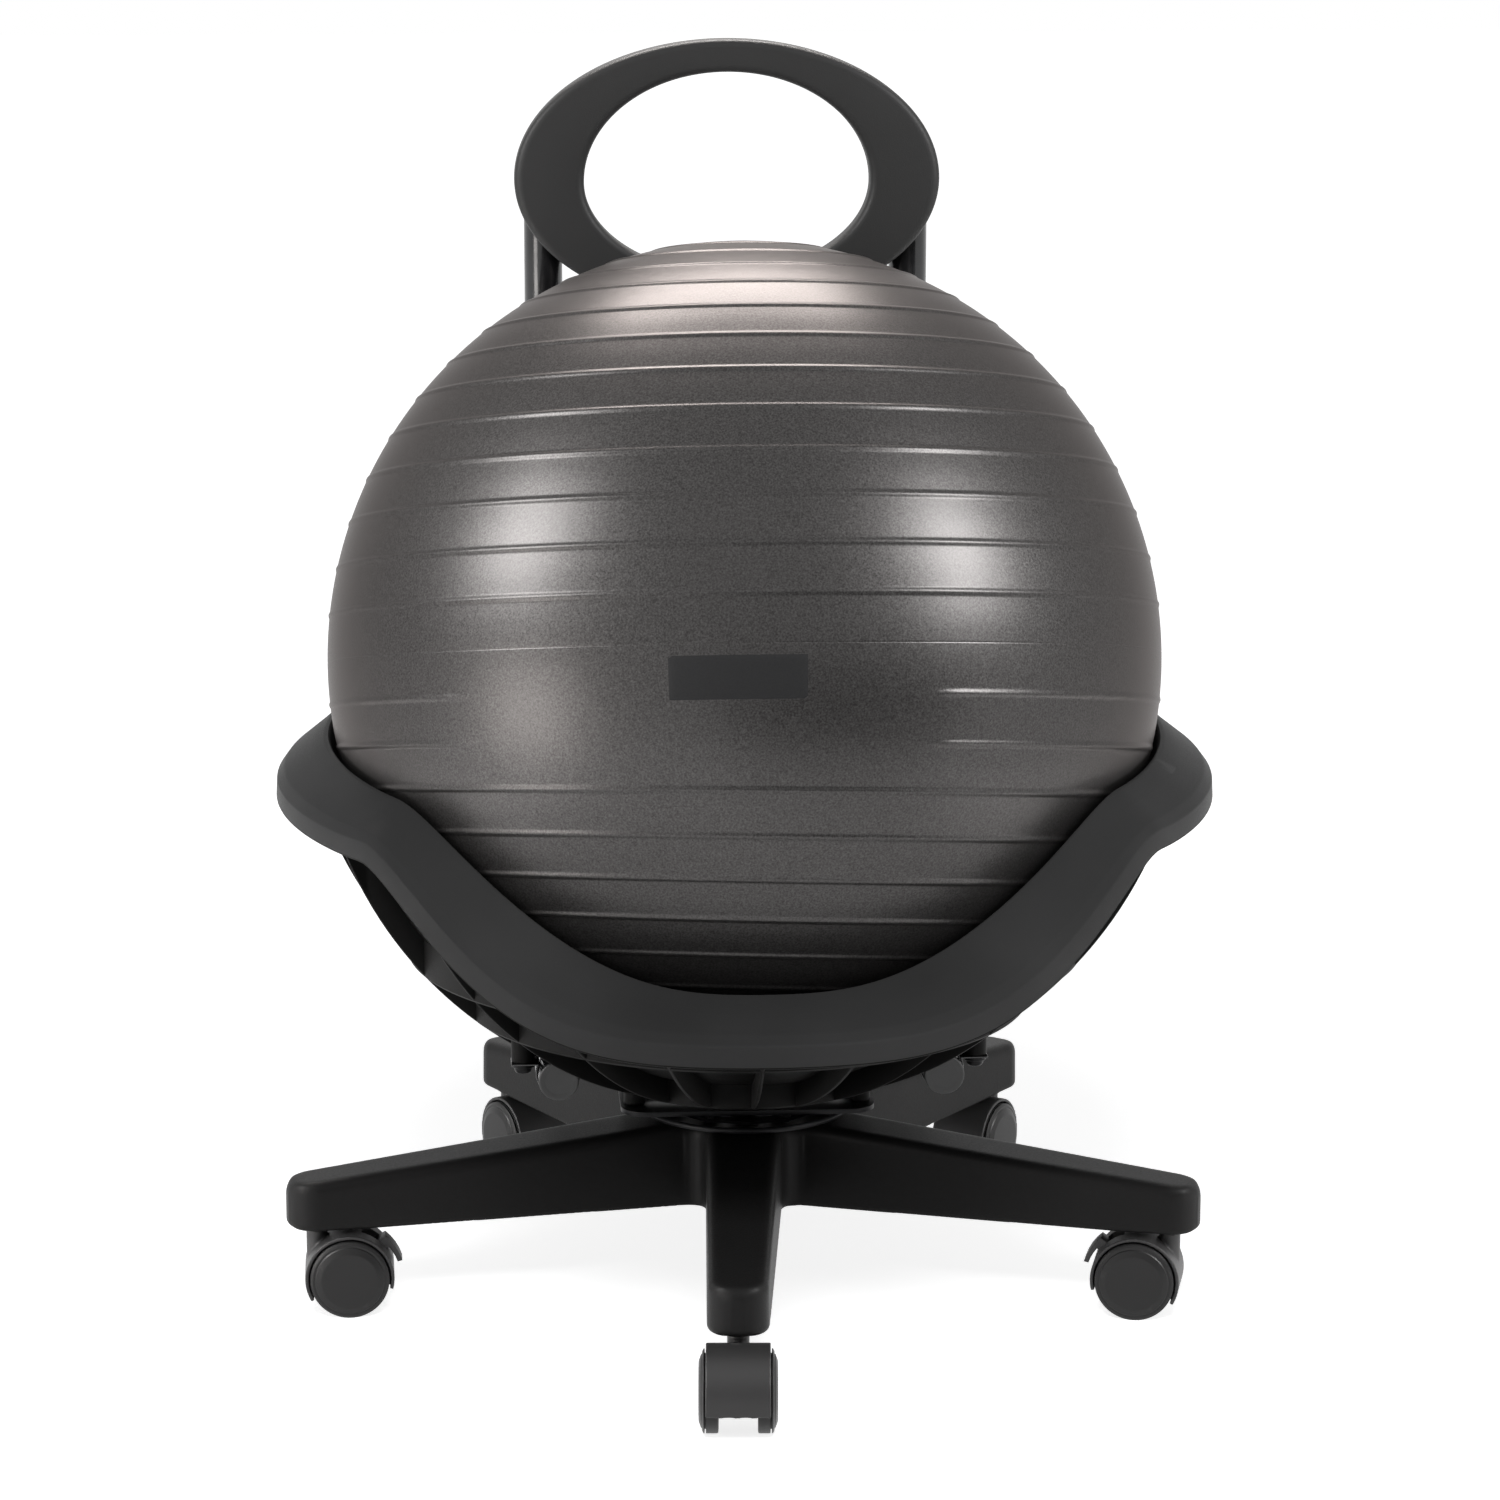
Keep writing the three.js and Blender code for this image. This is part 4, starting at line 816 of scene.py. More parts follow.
def bowl_section(azimuth):
    """The whole section from the inner pole over the rim and back to the outer pole."""
    upper_arc, upper, upper_radii = bowl_line(azimuth, 0)
    lower_arc, lower, lower_radii = bowl_line(azimuth, BOWL_WALL)
    corners = [*upper_arc[-2:], *upper, *reversed(lower), *reversed(lower_arc[-2:])]
    radii = [*upper_radii, SKIRT_EDGE_RADIUS, SKIRT_EDGE_RADIUS, *reversed(lower_radii)]
    return [*upper_arc[:-2], *filleted(corners, radii), *reversed(lower_arc[:-2])]


def under_height(azimuth, reach):
    """Height of the bowl's outer face at a distance from the axis."""
    arc, corners, _ = bowl_line(azimuth, BOWL_WALL)
    line = arc + corners[:-1]
    return float(np.interp(reach, [p[0] for p in line], [p[1] for p in line]))


def polar_point(azimuth, reach, height, across=0.0):
    return (
        reach * sin(azimuth) + across * cos(azimuth) + AXIS.x,
        -reach * cos(azimuth) + across * sin(azimuth) + AXIS.y,
        height,
    )


def bowl_shell():
    rows = [[polar_point(a, r, z) for r, z in bowl_section(a)] for a in around(BOWL_COLUMNS)]
    return skin("shell", np.swapaxes(np.asarray(rows), 0, 1), capped=True)


def mark_underside(shell):
    """Gives the faces under the bowl and inside its skirt the ribs' material: less grain than the top, and a
    much darker colour that is painted shade.
    """
    for face in shell.data.polygons:
        out = face.center - BALL_CENTRE
        outside = out.length > BOWL_INNER + BOWL_WALL / 2
        outwards = face.normal.x * out.x + face.normal.y * out.y
        # Faces turned down or inwards, where shade falls, take the painted shade
        in_painted_shade = face.normal.z < UNDERSIDE_SLOPE or outwards < INWARD_SHARE * hypot(out.x, out.y)
        face.material_index = int(outside and in_painted_shade)


def fin_section(azimuth, reach, foot, top, half):
    """One station of a fin: a narrow upright section with a rounded foot."""
    section = [(-half, top)]
    section += [(-half * cos(a), foot + half - half * sin(a)) for a in np.linspace(0, pi, 5)]
    section.append((half, top))
    return [polar_point(azimuth, reach, height, across) for across, height in section]


def over_tube(azimuth, reach, foot):
    """Raises a fin's foot over the tube that it crosses."""
    x, y, _ = polar_point(azimuth, reach, 0)
    beside = abs(abs(x - AXIS.x) - TUBE_SPACING)
    cradle = TUBE_RADIUS + TUBE_CRADLE_GAP
    if beside >= cradle or y < AXIS.y + TUBE_FRONT:
        return foot
    return max(foot, TUBE_RUN_HEIGHT + sqrt(cradle ** 2 - beside ** 2))


def fin(azimuth):
    _, _, crease, skirt = rim_at(azimuth)
    span = (RING_WALLS[-1], skirt[0] - BOWL_WALL / 2)
    skirt_foot = skirt[1] + FIN_SKIRT_GAP
    loops = []
    for reach in np.linspace(*span, FIN_STATIONS):
        foot = skirt_foot
        if reach < RIB_ENVELOPE:
            foot = min(sphere_height(RIB_ENVELOPE, reach), skirt_foot)
        foot = over_tube(azimuth, reach, foot)
        top = under_height(azimuth, min(reach, crease[0] - BOWL_WALL)) + RIB_EMBED
        loops.append(fin_section(azimuth, reach, foot, max(top, foot + RIB_WALL), RIB_WALL / 2))
    return skin("fin", loops, capped=True)


def ring_wall(radius):
    foot = sphere_height(RIB_ENVELOPE, radius)
    half = RIB_WALL / 2
    loops = []
    for azimuth in around(RING_WALL_SIDES):
        top = under_height(azimuth, radius) + RIB_EMBED
        section = [
            (radius - half, top), (radius - half, foot + half), (radius, foot),
            (radius + half, foot + half), (radius + half, top),
        ]
        loops.append([polar_point(azimuth, r, z) for r, z in section])
    return skin("ring_wall", loops, loop=True)


def boss(x, y, foot, radius):
    """A round boss under the bowl, with the mouth of its screw hole."""
    top = under_height(atan2(x, -y), hypot(x, y)) + RIB_EMBED * 2
    mouth = (BOSS_HOLE, foot + BOSS_MOUTH)
    profile = [mouth, (BOSS_HOLE, foot), (radius, foot), (radius, top), (BOSS_HOLE, top), mouth]
    return turned("boss", profile, 32, Matrix.Translation((x + AXIS.x, y + AXIS.y, 0)), BOSS_CORNERS)


def seat_bowl():
    shell = bowl_shell()
    mark_underside(shell)
    parts = [*map(fin, around(FIN_COUNT)), *map(ring_wall, RING_WALLS)]
    plate_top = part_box("upper_swivel_plate")[1].z
    for i in range(1, 5):
        place = centre_of(f"bowl_screw_{i}") - AXIS
        parts.append(boss(place.x, place.y, plate_top + PLATE_BOSS_GAP, PLATE_BOSS_RADIUS))
    strap_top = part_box("clamp_strap_front_left")[1].z
    clamp_foot = min(TUBE_RUN_HEIGHT + CLAMP_EAR_HEIGHT + CLAMP_BOSS_RISE, strap_top)
    clamp_x = TUBE_SPACING + CLAMP_EAR_OFFSET
    for x in (-clamp_x, clamp_x):
        for y in (-CLAMP_REACH, CLAMP_REACH):
            parts.append(boss(x, y, clamp_foot, CLAMP_BOSS_RADIUS))
    for part in parts:
        # The fins, ring walls and bosses take the second material, whose darker colour is painted shade
        part.data.polygons.foreach_set("material_index", [1] * len(part.data.polygons))
    bowl = merge("bowl_moulding", [shell, *parts])
    place_piece(bowl, "seat", "bowl_plastic", "seat_bowl")
    bowl.data.materials.append(materials["rib_plastic_painted_shade"])


# Star base
def arm_matrix(index):
    """Turns a body drawn along +X to an arm, or between two arms for a half."""
    return ON_AXIS @ turn_z(-pi / 2 + TURN * index / ARM_COUNT + BASE_YAW)


def arm_levels(reach):
    """Heights of the arm's top and bottom."""
    share = max(0.0, reach - ARM_FLAT) / (STEM_CIRCLE + ARM_TIP_RADIUS - ARM_FLAT)
    return mix(ARM_TOP, share), mix(ARM_BOTTOM, share)


def arm_half_width(reach):
    if reach > STEM_CIRCLE:
        return sqrt(max(0.0, ARM_TIP_RADIUS ** 2 - (reach - STEM_CIRCLE) ** 2))
    return mix((ARM_ROOT_HALF_WIDTH, ARM_TIP_RADIUS), reach / STEM_CIRCLE)


def arm_section(reach, half, top, bottom, hollow=False):
    """A station of the arm: a channel open below or the tip's solid block, with rounded shoulders."""
    edge = min(ARM_TOP_EDGE, half * 0.85)
    foot = min(ARM_BOTTOM_EDGE, half * 0.5) * (0.5 if hollow else 1)
    inner = half - ARM_WALL if hollow else 0
    shoulder = half * ARM_DRAFT
    left = [(-inner, bottom), (-half, bottom), (-shoulder, top)]
    right = [(shoulder, top), (half, bottom), (inner, bottom)]
    loop = filleted(left + right, [foot, edge, edge, foot], 6)
    if hollow:
        roof, ceiling = top - ARM_WALL, inner * CHANNEL_DRAFT
        under = [(inner, bottom), (ceiling, roof), (-ceiling, roof), (-inner, bottom)]
        loop += filleted(under, [CHANNEL_CORNER] * 2, 3)[1:-1]
    else:
        loop.pop()
    return [(reach, y, z) for y, z in loop]


def arm_channel():
    start, end = HUB_RADIUS - CHANNEL_SPAN[0], STEM_CIRCLE - CHANNEL_SPAN[1]
    return [
        arm_section(reach, arm_half_width(reach), *arm_levels(reach), hollow=True)
        for reach in np.linspace(start, end, CHANNEL_STATIONS)
    ]


def tip_block():
    """The solid end that holds the stem, its last stations closing in a rounded nose."""
    span = (STEM_CIRCLE - TIP_BLOCK_SPAN, STEM_CIRCLE + ARM_TIP_RADIUS)
    rows = []
    for share in np.linspace(0, 1, TIP_BLOCK_STATIONS):
        reach = mix(span, sin(share * pi / 2))
        away = max(0.0, span[1] - reach)
        drop = 0.0
        if away < ARM_TOP_EDGE:
            drop = ARM_TOP_EDGE - sqrt(max(0.0, ARM_TOP_EDGE ** 2 - (ARM_TOP_EDGE - away) ** 2))
        half = max(TIP_BLOCK_LEAST, arm_half_width(reach))
        top, bottom = arm_levels(reach)
        rows.append(arm_section(reach, half, top - drop, bottom + drop * ARM_BOTTOM_EDGE / ARM_TOP_EDGE))
    return rows


def arm_rib(reach):
    half = arm_half_width(reach) - ARM_WALL / 2
    upper = half * ARM_RIB_DRAFT
    top, foot = np.add(arm_levels(reach), (-ARM_WALL / 2, ARM_RIB_RAISE))
    return [
        [(x, -half, foot), (x, half, foot), (x, upper, top), (x, -upper, top)]
        for x in (reach - ARM_RIB_HALF, reach + ARM_RIB_HALF)
    ]


def hub_fillet():
    """Fills the corner between two arms with a concave wall whose top edge is rounded."""
    half_gap = pi / ARM_COUNT
    centre = (arm_half_width(HUB_RADIUS) + HUB_FILLET) / sin(half_gap)
    swing = pi / 2 - half_gap
    levels = [(0, ARM_BOTTOM[0])]
    for angle in np.linspace(0, pi / 2, HUB_FILLET_CELLS[0]):
        inset = ARM_TOP_EDGE * (1 - cos(angle))
        levels.append((inset, ARM_TOP[0] - ARM_TOP_EDGE * (1 - sin(angle))))
    rows = []
    for inset, height in levels:
        radius = HUB_FILLET + inset
        row = [(HUB_RADIUS - HUB_FILLET_ROOT, 0.0, height)]
        for angle in np.linspace(-swing, swing, HUB_FILLET_CELLS[1]):
            row.append((centre - radius * cos(angle), radius * sin(angle), height))
        rows.append(row)
    return rows


def star_base():
    top, bottom = ARM_TOP[0], ARM_BOTTOM[0]
    recess, recess_depth = HUB_RECESS
    hub = [
        (HUB_BORE, top - recess_depth), (recess, top - recess_depth), (recess, top), (HUB_RADIUS, top),
        (HUB_RADIUS + HUB_FLARE, bottom), (HUB_RADIUS - HUB_WALL, bottom),
        (HUB_RADIUS - HUB_WALL - 0.001, top - HUB_TOP_WALL), (HUB_BORE, top - HUB_TOP_WALL),
        (HUB_BORE, top - recess_depth),
    ]
    corners = [0.0005, 0.0005, 0.004, 0.002, 0.001, 0.003, 0.001]
    parts = [turned("hub", hub, 120, ON_AXIS, corners)]
    for i in range(ARM_COUNT):
        for rows in (arm_channel(), tip_block(), *map(arm_rib, ARM_RIBS)):
            parts.append(skin("arm", rows, arm_matrix(i), capped=True))
        parts.append(skin("hub_fillet", hub_fillet(), arm_matrix(i + 0.5), capped=True))
    base = fused(merge("base_moulding", parts), *BASE_FUSING)
    place_piece(base, "base", "base_plastic", "star_base")


# Casters
def caster_matrix(index):
    stem = arm_matrix(index) @ Vector((STEM_CIRCLE, 0, 0))
    return Matrix.Translation(stem) @ turn_z(CASTER_TURNS[index])


def at_axle(matrix):
    return matrix @ Matrix.Translation((CASTER_TRAIL, 0, AXLE_HEIGHT))


def caster_wheel(name, letter, matrix):
    """A domed wheel with a groove beside the hood, turned from its inner face outwards."""
    inner, outer = WHEEL_GAP / 2, CASTER_WIDTH / 2
    radius = WHEEL_RADIUS - WHEEL_CLEARANCE
    tread = outer - TREAD_SHOULDER
    groove = HOOD_WIDTH / 2 - WHEEL_GROOVE_INSET
    profile = [
        (0, inner + 0.0035), (0.0085, inner + 0.0035), (0.0095, inner + 0.0002), (0.0115, inner + 0.0002),
        (0.0125, inner + 0.003), (radius - 0.0035, inner + 0.003), (radius - 0.0028, inner),
        (radius, inner + 0.0003), (radius, groove), (radius - 0.0026, groove + 0.0001),
        (radius - 0.0026, groove + 0.0008), (radius, groove + 0.0009), (radius, tread),
        (0.0229, tread + 0.0009), (0.0216, tread + 0.0009), (0.0210, tread + 0.0016),
        (0.0180, outer - 0.0009), (0.0172, outer - 0.0007), (0, outer),
    ]
    placing = at_axle(matrix) @ TO_REAR
    if letter == "a":
        placing = placing @ Matrix.Rotation(pi, 4, "X")
    wheel = turned(f"tyre_{letter}_{name}", profile, 96, placing, WHEEL_CORNERS)
    smooth(wheel, 35)
    place_piece(wheel, f"wheel_{letter}_{name}", "wheel_plastic", f"wheel_{letter}_{name}")


def side_plate(points, half, matrix):
    """An upright plate from a side-view outline round the axle."""
    vertices, faces = grid([[(x, side, z) for x, z in points] for side in (-half, half)])
    count = len(points)
    faces += [tuple(range(count)), tuple(range(2 * count - 1, count - 1, -1))]
    return make_object("plate", placed(at_axle(matrix), vertices), faces)


def arc_points(radius, start, end, steps):
    return [(radius * cos(a), radius * sin(a)) for a in np.linspace(start, end, steps + 1)]


def caster_hood(name, matrix):
    shell = arc_points(HOOD_RADIUS, *HOOD_SPAN, HOOD_STEPS)
    shell += reversed(arc_points(HOOD_RADIUS - HOOD_WALL, *HOOD_SPAN, HOOD_STEPS))
    web = arc_points(HOOD_RADIUS - HOOD_WALL / 2, *HOOD_SPAN, HOOD_STEPS)
    web += [(-WEB_FOOT[0], WEB_FOOT[1]), WEB_FOOT]
    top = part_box(f"caster_hood_{name}")[1].z
    neck = [(0, AXLE_HEIGHT), (NECK_RADIUS, AXLE_HEIGHT), (NECK_RADIUS, top), (0, top)]
    parts = [
        side_plate(shell, HOOD_WIDTH / 2, matrix),
        side_plate(web, WHEEL_GAP / 2 - WEB_CLEARANCE, matrix),
        turned("neck", neck, 40, matrix, [0.0005, 0.0006]),
    ]
    hood = fused(merge(f"hood_{name}", parts), *HOOD_FUSING)
    if name in BRAKED:
        slot = arc_points(SLOT_REACH[1], *SLOT_SPAN, SLOT_STEPS)
        slot += reversed(arc_points(SLOT_REACH[0], *SLOT_SPAN, SLOT_STEPS))
        cut(hood, side_plate(slot, SLOT_HALF_WIDTH, matrix))
    place_piece(hood, f"caster_{name}", "caster_plastic", f"caster_hood_{name}")


def casters():
    for index, name in enumerate(CASTER_NAMES):
        matrix = caster_matrix(index)
        for letter in "ab":
            caster_wheel(name, letter, matrix)
        caster_hood(name, matrix)
        if name in BRAKED:
            lever = f"brake_lever_{name}"
            rounded_copy(lever, f"brake_tab_{name}", lever, "caster_plastic", 0.0007)


# Back tubes
def on_tube(side, y, z):
    """A place over a back tube, with its y from the chair's axis."""
    return Vector((side * TUBE_SPACING + AXIS.x, y + AXIS.y, z))


def tube_route(side):
    """The tube's centre line from its front end, back, up and over to its top end."""
    corners = [
        (TUBE_FRONT, TUBE_RUN_HEIGHT), (TUBE_REAR, TUBE_RUN_HEIGHT), (TUBE_REAR, TUBE_LEAN_HEIGHT),
        (TUBE_TOP_REACH, TUBE_TOP_BEND_HEIGHT), (TUBE_TOP_REACH, TUBE_TOP_HEIGHT),
    ]
    corners = [np.array(corner) for corner in corners]
    points = [corners[0]]
    radii = [TUBE_BEND, TUBE_LEAN_BEND, TUBE_LEAN_BEND]
    for before, corner, after, radius in zip(corners, corners[1:], corners[2:], radii):
        into = (corner - before) / norm(corner - before)
        out = (after - corner) / norm(after - corner)
        swing = acos(float(into @ out))
        start = corner - into * radius * tan(swing / 2)
        towards = out - into * float(into @ out)
        towards /= norm(towards)
        for angle in np.linspace(0, swing, TUBE_BEND_STATIONS):
            points.append(start + into * radius * sin(angle) + towards * radius * (1 - cos(angle)))
    points.append(corners[-1])
    return [on_tube(side, y, z) for y, z in points]


def back_tube(side, name):
    route = tube_route(side)
    across = Vector((1, 0, 0))
    stations = []
    for i, point in enumerate(route):
        tangent = (route[min(i + 1, len(route) - 1)] - route[max(i - 1, 0)]).normalized()
        stations.append((point, tangent.cross(across)))
    loops = []
    for radius, order in ((TUBE_RADIUS, stations), (TUBE_RADIUS - TUBE_WALL, reversed(stations))):
        for point, up in order:
            loops.append([
                tuple(point + across * radius * cos(a) + up * radius * sin(a)) for a in around(TUBE_SIDES)
            ])
    tube = skin(f"tube_{name}", loops, loop=True)
    place_piece(tube, "seat", "tube_paint", f"back_tube_{name}")


def end_cap(side, name):
    low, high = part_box(f"tube_end_cap_{name}")
    depth = high.y - low.y
    plug = TUBE_RADIUS - TUBE_WALL - CAP_FIT
    profile = [
        (0, 0.0008), (0.0085, 0.0004), (TUBE_RADIUS, 0), (TUBE_RADIUS, CAP_RIM), (plug, CAP_RIM),
        (plug, depth), (0, depth),
    ]
    matrix = Matrix.Translation(on_tube(side, low.y - AXIS.y, TUBE_RUN_HEIGHT)) @ TO_REAR
    cap = turned(f"cap_{name}", profile, 48, matrix, [0.002, 0.0012, 0.0003, 0.0003, 0.001])
    place_piece(cap, "seat", "cap_plastic", f"tube_end_cap_{name}")


# Screws and clamps
def socket_screw(name, source, matrix, size, material=None):
    """A button-head screw with a hex socket, its head towards -Z and its seat at height zero."""
    head_radius, head_height, shank, length, flange = size
    socket = head_radius * 0.42
    floor = head_height * -0.4
    angles = around(SCREW_SIDES)

    def hexagon(radius):
        return [radius / cos((a % (TURN / 6)) - TURN / 12) for a in angles]

    def circle(radius):
        return [radius] * SCREW_SIDES

    rows = [(hexagon(socket * 0.25), floor), (hexagon(socket), floor)]
    rows += [(hexagon(socket), -head_height + 0.0002), (hexagon(socket * 1.06), -head_height)]
    for share in np.linspace(0.1, 1, 7):
        angle = share * pi / 2
        radius = mix((socket * 1.2, head_radius), sin(angle) ** 0.6)
        rows.append((circle(radius), -head_height * (0.35 + 0.65 * cos(angle))))
    if flange:
        rows.append((circle(flange - 0.0003), -head_height * 0.35))
        rows.append((circle(flange), -head_height * 0.3))
    rows.append((circle(flange or head_radius), 0))
    rows += [(circle(shank), 0), (circle(shank), length * 0.9), (circle(shank * 0.7), length)]
    loops = [[(r * sin(a), -r * cos(a), z) for r, a in zip(radii, angles)] for radii, z in rows]
    screw = skin(name, loops, matrix, capped=True)
    smooth(screw, 35)
    place_piece(screw, "seat", "dark_steel", source, material)


def clamp(side, end, name):
    """A saddle clamp and its screw."""
    rounded_copy(f"clamp_strap_{name}", f"strap_{name}", "seat", "tube_paint", 0.0004, segments=2)
    place = on_tube(side, end * CLAMP_REACH, TUBE_RUN_HEIGHT + CLAMP_EAR_HEIGHT - SCREW_SEAT_GAP)
    place.x += side * CLAMP_EAR_OFFSET
    matrix = Matrix.Translation(place)
    socket_screw(f"strap_bolt_{name}", f"clamp_screw_{name}", matrix, CLAMP_SCREW, "swivel_paint")


def ring_screw(side, height, name):
    place = on_tube(side, TUBE_TOP_REACH + TUBE_RADIUS + SCREW_SEAT_GAP, height)
    matrix = Matrix.Translation(place) @ TO_FRONT
    socket_screw(f"ring_bolt_{name}", f"ring_screw_{name}", matrix, RING_SCREW)


def plate_screw(number):
    low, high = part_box(f"bowl_screw_{number}")
    place = centre_of(f"bowl_screw_{number}")
    place.z = low.z + PLATE_SCREW_HEAD[1]
    size = (*PLATE_SCREW_HEAD, high.z - place.z, None)
    socket_screw(f"plate_screw_{number}", f"bowl_screw_{number}", Matrix.Translation(place), size)


# Back ring
def oval(half_width, heights, centre, angle):
    rise = heights[0] if sin(angle) >= 0 else heights[1]
    return np.array([half_width * cos(angle), centre + rise * sin(angle)])


def back_ring():
    """A broad band between two ovals, flat in front with rounded edges, grooved behind for the tubes."""
    face, back = RING_FRONT + RING_CROWN, RING_FRONT + RING_THICKNESS
    corners = [RING_EDGE, RING_BACK_EDGE, RING_BACK_EDGE, RING_EDGE]
    loops = []
    for angle in around(RING_COLUMNS):
        outer = oval(RING_HALF_WIDTH, RING_HEIGHTS, RING_CENTRE, angle)
        inner = oval(HOLE_HALF_WIDTH, HOLE_HEIGHTS, HOLE_CENTRE, angle)
        span = norm(outer - inner)
        along = (outer - inner) / span
        middle = span / 2
        band = [(middle, face), (span, face), (span, back), (0, back), (0, face), (middle, RING_FRONT)]
        loops.append([
            (AXIS.x + inner[0] + along[0] * s, AXIS.y + y, inner[1] + along[1] * s)
            for s, y in filleted(band, corners, 7)[:-1]
        ])
    ring = skin("ring_moulding", loops, loop=True)
    radius, top = TUBE_RADIUS + GROOVE_CLEARANCES[0], TUBE_TOP_HEIGHT + GROOVE_CLEARANCES[1]
    groove = [(0, GROOVE_FOOT), (radius, GROOVE_FOOT), (radius, top), (0, top)]
    tubes = [Matrix.Translation(on_tube(side, TUBE_TOP_REACH, 0)) for side, _ in SIDES]
    cut(ring, merge("grooves", [turned("groove", groove, 48, matrix) for matrix in tubes]))
    smooth(ring, 45)
    place_piece(ring, "seat", "ring_plastic", "back_ring")


# Swivel
def swivel_dish():
    low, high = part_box("lower_swivel_plate")
    edge = (high.x - low.x) / 2 - DISH_BEAD
    level = high.z - DISH_BEAD
    start = (DISH_BORE, low.z)
    profile = [start, (DISH_FLOOR_RADIUS, low.z), (edge - DISH_BEAD, level - DISH_WALL / 2)]
    for angle in np.linspace(*DISH_BEAD_SWEEP):
        profile.append((edge + DISH_BEAD * cos(angle), level + DISH_BEAD * sin(angle)))
    profile += [(DISH_FLOOR_RADIUS, low.z + DISH_WALL), (DISH_BORE, low.z + DISH_WALL), start]
    plate = turned("swivel_dish", profile, 144, ON_AXIS)
    smooth(plate, 50)
    place_piece(plate, "base", "bright_steel", "lower_swivel_plate", "swivel_paint")


def swivel_rivet():
    low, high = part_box("pivot_rivet")
    foot, top = low.z, high.z
    profile = [
        (0, foot), (0.012, foot), (0.012, foot + 0.004), (0.008, foot + 0.004), (0.008, top - 0.003),
        (0.012, top - 0.003), (0.0115, top - 0.0012), (0.007, top), (0, top),
    ]
    rivet = turned("swivel_rivet", profile, 48, ON_AXIS, RIVET_CORNERS)
    place_piece(rivet, "base", "bright_steel", "pivot_rivet", "swivel_paint")


def finish_cad_nodes():
    """Gives the nodes that still show their slot's own material, but the swivel's steel race and hub bolts
    the black paint, as painted shade between the plates.
    """
    slots = {part["node"]: part["material_slot"] for part in frame["record"]["subparts"]}
    for name, obj in frame["nodes"].items():
        if obj.hide_render:
            continue
        obj.data.materials.clear()
        # The steel race and hub bolts sit in the gap under the seat; painting them black is painted shade
        steel_in_painted_shade = "race" in name or "hub_bolt" in name
        obj.data.materials.append(materials["swivel_paint" if steel_in_painted_shade else slots[name]])


# Floor, light and camera
def add_camera():
    """Adds the camera and returns its directions right, up and towards itself."""
    towards = Vector((0, 0, sin(CAMERA_PITCH))) - CAMERA_HEADING * cos(CAMERA_PITCH)
    right = Vector((CAMERA_HEADING.y, -CAMERA_HEADING.x, 0))
    axes = (right, towards.cross(right), towards)
    camera = link("camera", bpy.data.cameras.new("camera"))
    camera.matrix_world = Matrix.Translation(CAMERA_PLACE) @ Matrix(axes).transposed().to_4x4()
    camera.data.lens = CAMERA_LENS
    camera.data.sensor_width = CAMERA_SENSOR
    bpy.context.scene.camera = camera
    return axes


def add_lamp(axes, name, direction, distance, size, power, color, sheen):
    """An area lamp aimed at the ball, that gives the sheen or else lights the dull surfaces."""
    place = BALL_CENTRE + distance * sum((a * d for a, d in zip(axes, direction)), Vector((0, 0, 0)))
    light = bpy.data.lights.new(name, "AREA")
    light.shape = "RECTANGLE"
    light.size, light.size_y = size
    light.energy = power
    light.color = color
    lamp = link(name, light)
    lamp.location = place
    lamp.rotation_mode = "QUATERNION"
    lamp.rotation_quaternion = (BALL_CENTRE - place).to_track_quat("-Z", "Y")
    lamp.visible_diffuse = not sheen
    lamp.visible_glossy = sheen


def fresh_tree(owner):
    """Empties a material's or a world's nodes."""
    owner.use_nodes = True
    owner.node_tree.nodes.clear()
    return owner.node_tree


def seen_directly(tree):
    """One for camera, glossy and transmission rays, so that gloss shows the same background."""
    path = node(tree, "LightPath")
    glossy = node(tree, "Math", operation="MAXIMUM")
    either = node(tree, "Math", operation="MAXIMUM")
    wire(
        tree,
        (path.outputs["Is Camera Ray"], glossy.inputs[0]),
        (path.outputs["Is Glossy Ray"], glossy.inputs[1]),
        (glossy.outputs[0], either.inputs[0]),
        (path.outputs["Is Transmission Ray"], either.inputs[1]),
    )
    return either.outputs[0]


def add_world():
    world = bpy.data.worlds.new("studio")
    bpy.context.scene.world = world
    tree = fresh_tree(world)
    backdrop = node(tree, "Background", Color=WHITE, Strength=1.0)
    fill = node(tree, "Background", Color=(0.98, 0.99, 1, 1), Strength=WORLD_FILL)
    mixed = node(tree, "MixShader")
    output = node(tree, "OutputWorld")
    wire(
        tree,
        (seen_directly(tree), mixed.inputs[0]),
        (fill.outputs[0], mixed.inputs[1]),
        (backdrop.outputs[0], mixed.inputs[2]),
        (mixed.outputs[0], output.inputs[0]),
    )


def add_card(right, towards):
    """A dark card low beside the camera, seen only in reflections."""
    facing = right * sin(CARD_ANGLE) + towards * cos(CARD_ANGLE)
    facing = Vector((facing.x, facing.y, 0)).normalized()
    across = Vector((facing.y, -facing.x, 0)) * CARD_SIZE[0] / 2
    up = Vector((0, 0, CARD_SIZE[1] / 2))
    centre = BALL_CENTRE + facing * CARD_DISTANCE + Vector((0, 0, CARD_RISE))
    corners = [centre - across - up, centre + across - up, centre + across + up, centre - across + up]
    card = make_object("dark_card", corners, [(0, 1, 2, 3)])
    card.visible_camera = False
    card.visible_diffuse = False
    card.visible_shadow = False
    material = bpy.data.materials.new("dark_card")
    tree = fresh_tree(material)
    surface = node(tree, "BsdfDiffuse", Color=(0.02, 0.02, 0.02, 1))
    output = node(tree, "OutputMaterial")
    wire(tree, (surface.outputs[0], output.inputs[0]))
    card.data.materials.append(material)


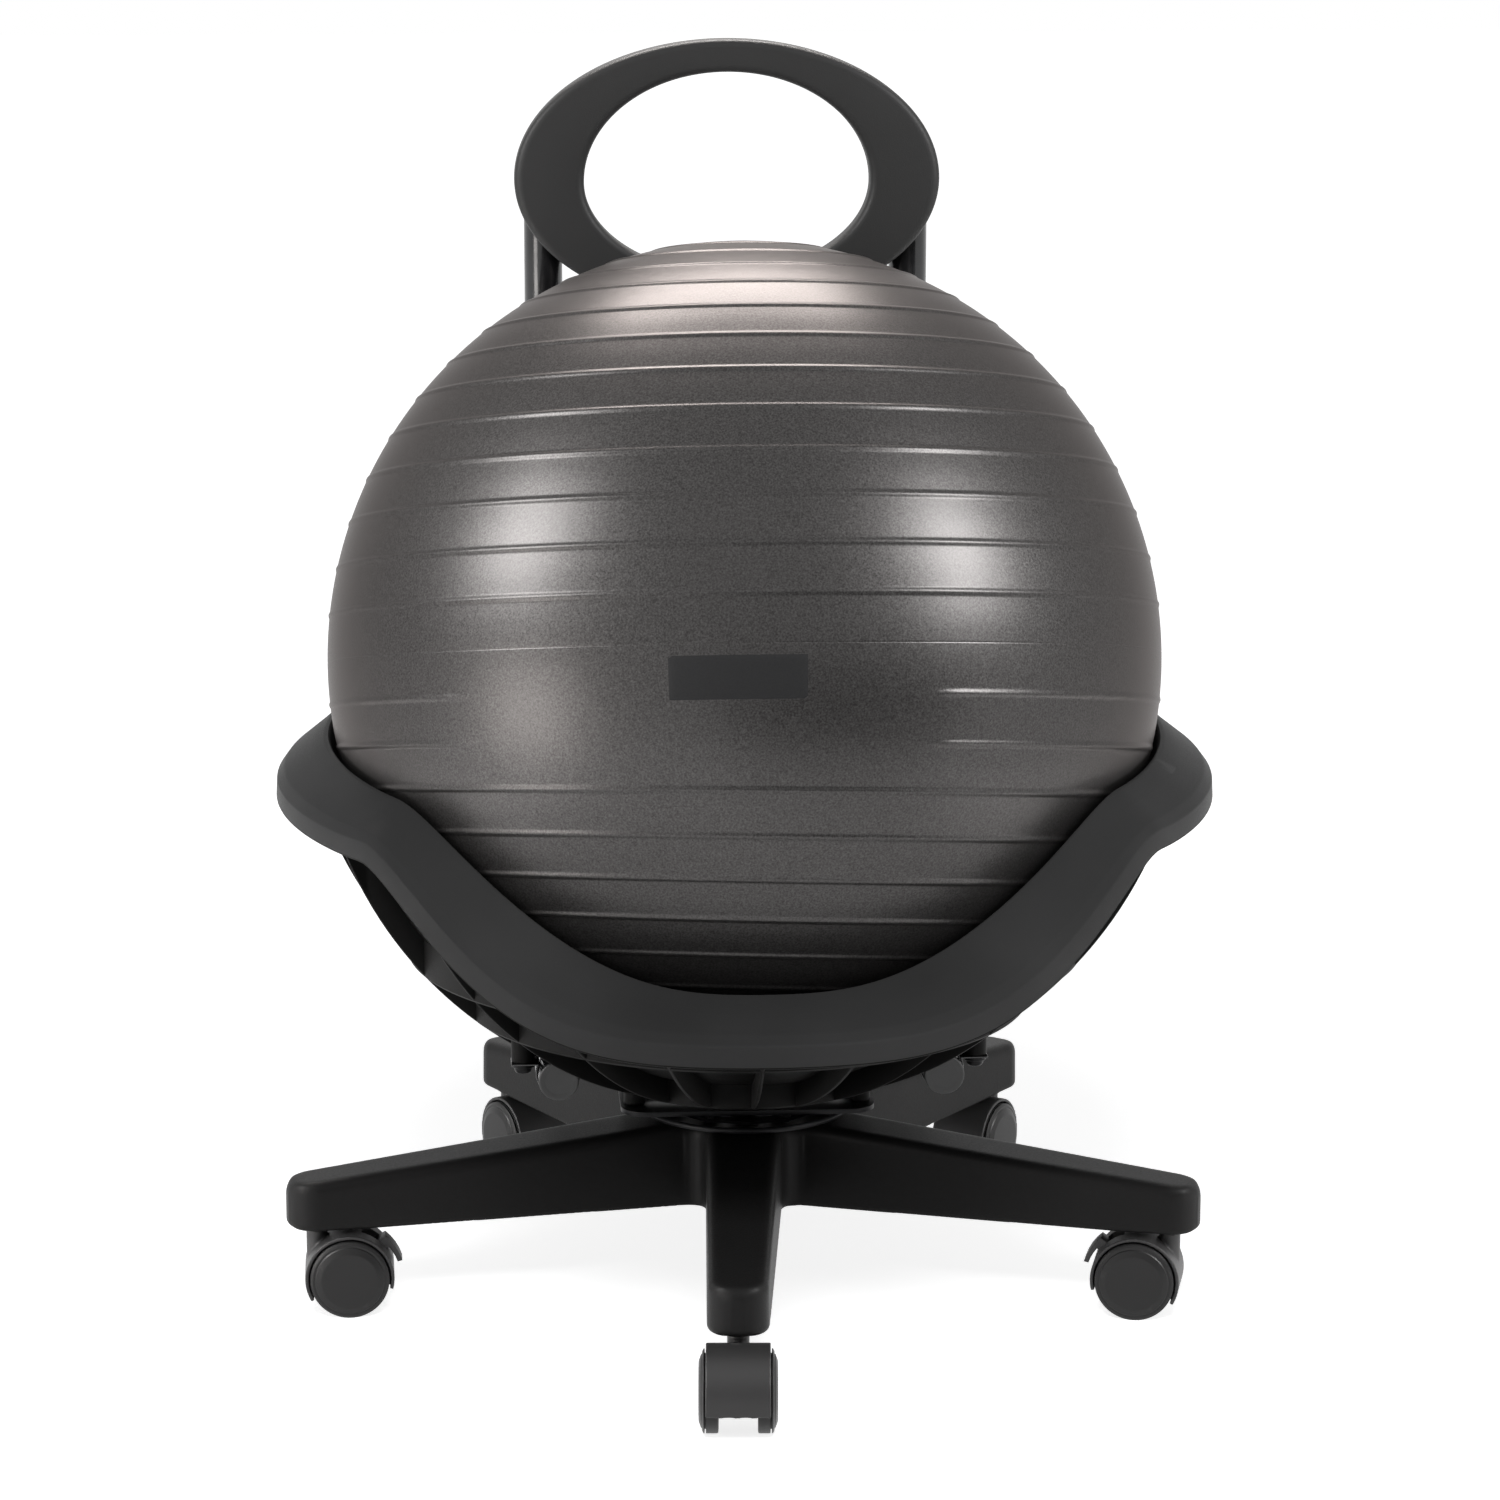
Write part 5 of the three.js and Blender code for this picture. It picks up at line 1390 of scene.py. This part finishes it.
def add_floor():
    """A white floor that takes the chair's shadow, a little greyer under the chair."""
    size = FLOOR_SIZE
    corners = [(-size, -size, 0), (size, -size, 0), (size, size, 0), (-size, size, 0)]
    floor = make_object("floor", corners, [(0, 1, 2, 3)])
    material = bpy.data.materials.new("floor")
    tree = fresh_tree(material)
    direct = seen_directly(tree)
    diffuse = node(tree, "BsdfDiffuse")
    ranged(tree, direct, (0, 1), FLOOR_GREY, diffuse.inputs["Color"])
    place = node(tree, "TexCoord")
    away = node(tree, "VectorMath", operation="LENGTH")
    level = node(tree, "Math", operation="MULTIPLY")
    ranged(
        tree, away.outputs["Value"], FLOOR_GLOW_REACH, FLOOR_GLOW, level.inputs[1],
        interpolation_type="SMOOTHSTEP",
    )
    glow = node(tree, "Emission", Color=WHITE)
    total = node(tree, "AddShader")
    output = node(tree, "OutputMaterial")
    wire(
        tree,
        (place.outputs["Object"], away.inputs[0]),
        (direct, level.inputs[0]),
        (level.outputs[0], glow.inputs["Strength"]),
        (diffuse.outputs[0], total.inputs[0]),
        (glow.outputs[0], total.inputs[1]),
        (total.outputs[0], output.inputs[0]),
    )
    floor.data.materials.append(material)


def studio():
    bpy.context.scene.view_settings.view_transform = "Standard"
    axes = add_camera()
    for lamp in LAMPS:
        add_lamp(axes, *lamp)
    add_card(axes[0], axes[2])
    add_world()
    add_floor()


studio()
exercise_ball()
blank_label()
valve_patch()
valve_plug()
seat_bowl()
star_base()
casters()
for side, side_name in SIDES:
    back_tube(side, side_name)
    end_cap(side, side_name)
for side, side_name in SIDES:
    for end, end_name in ((-1, "front"), (1, "rear")):
        clamp(side, end, f"{end_name}_{side_name}")
    for height, level_name in zip(RING_SCREW_HEIGHTS, ("lower", "upper")):
        ring_screw(side, height, f"{level_name}_{side_name}")
for screw_number in range(1, 5):
    plate_screw(screw_number)
back_ring()
swivel_dish()
rounded_copy("upper_swivel_plate", "swivel_plate", "seat", "dark_steel", 0.0006, "swivel_paint")
swivel_rivet()
finish_cad_nodes()
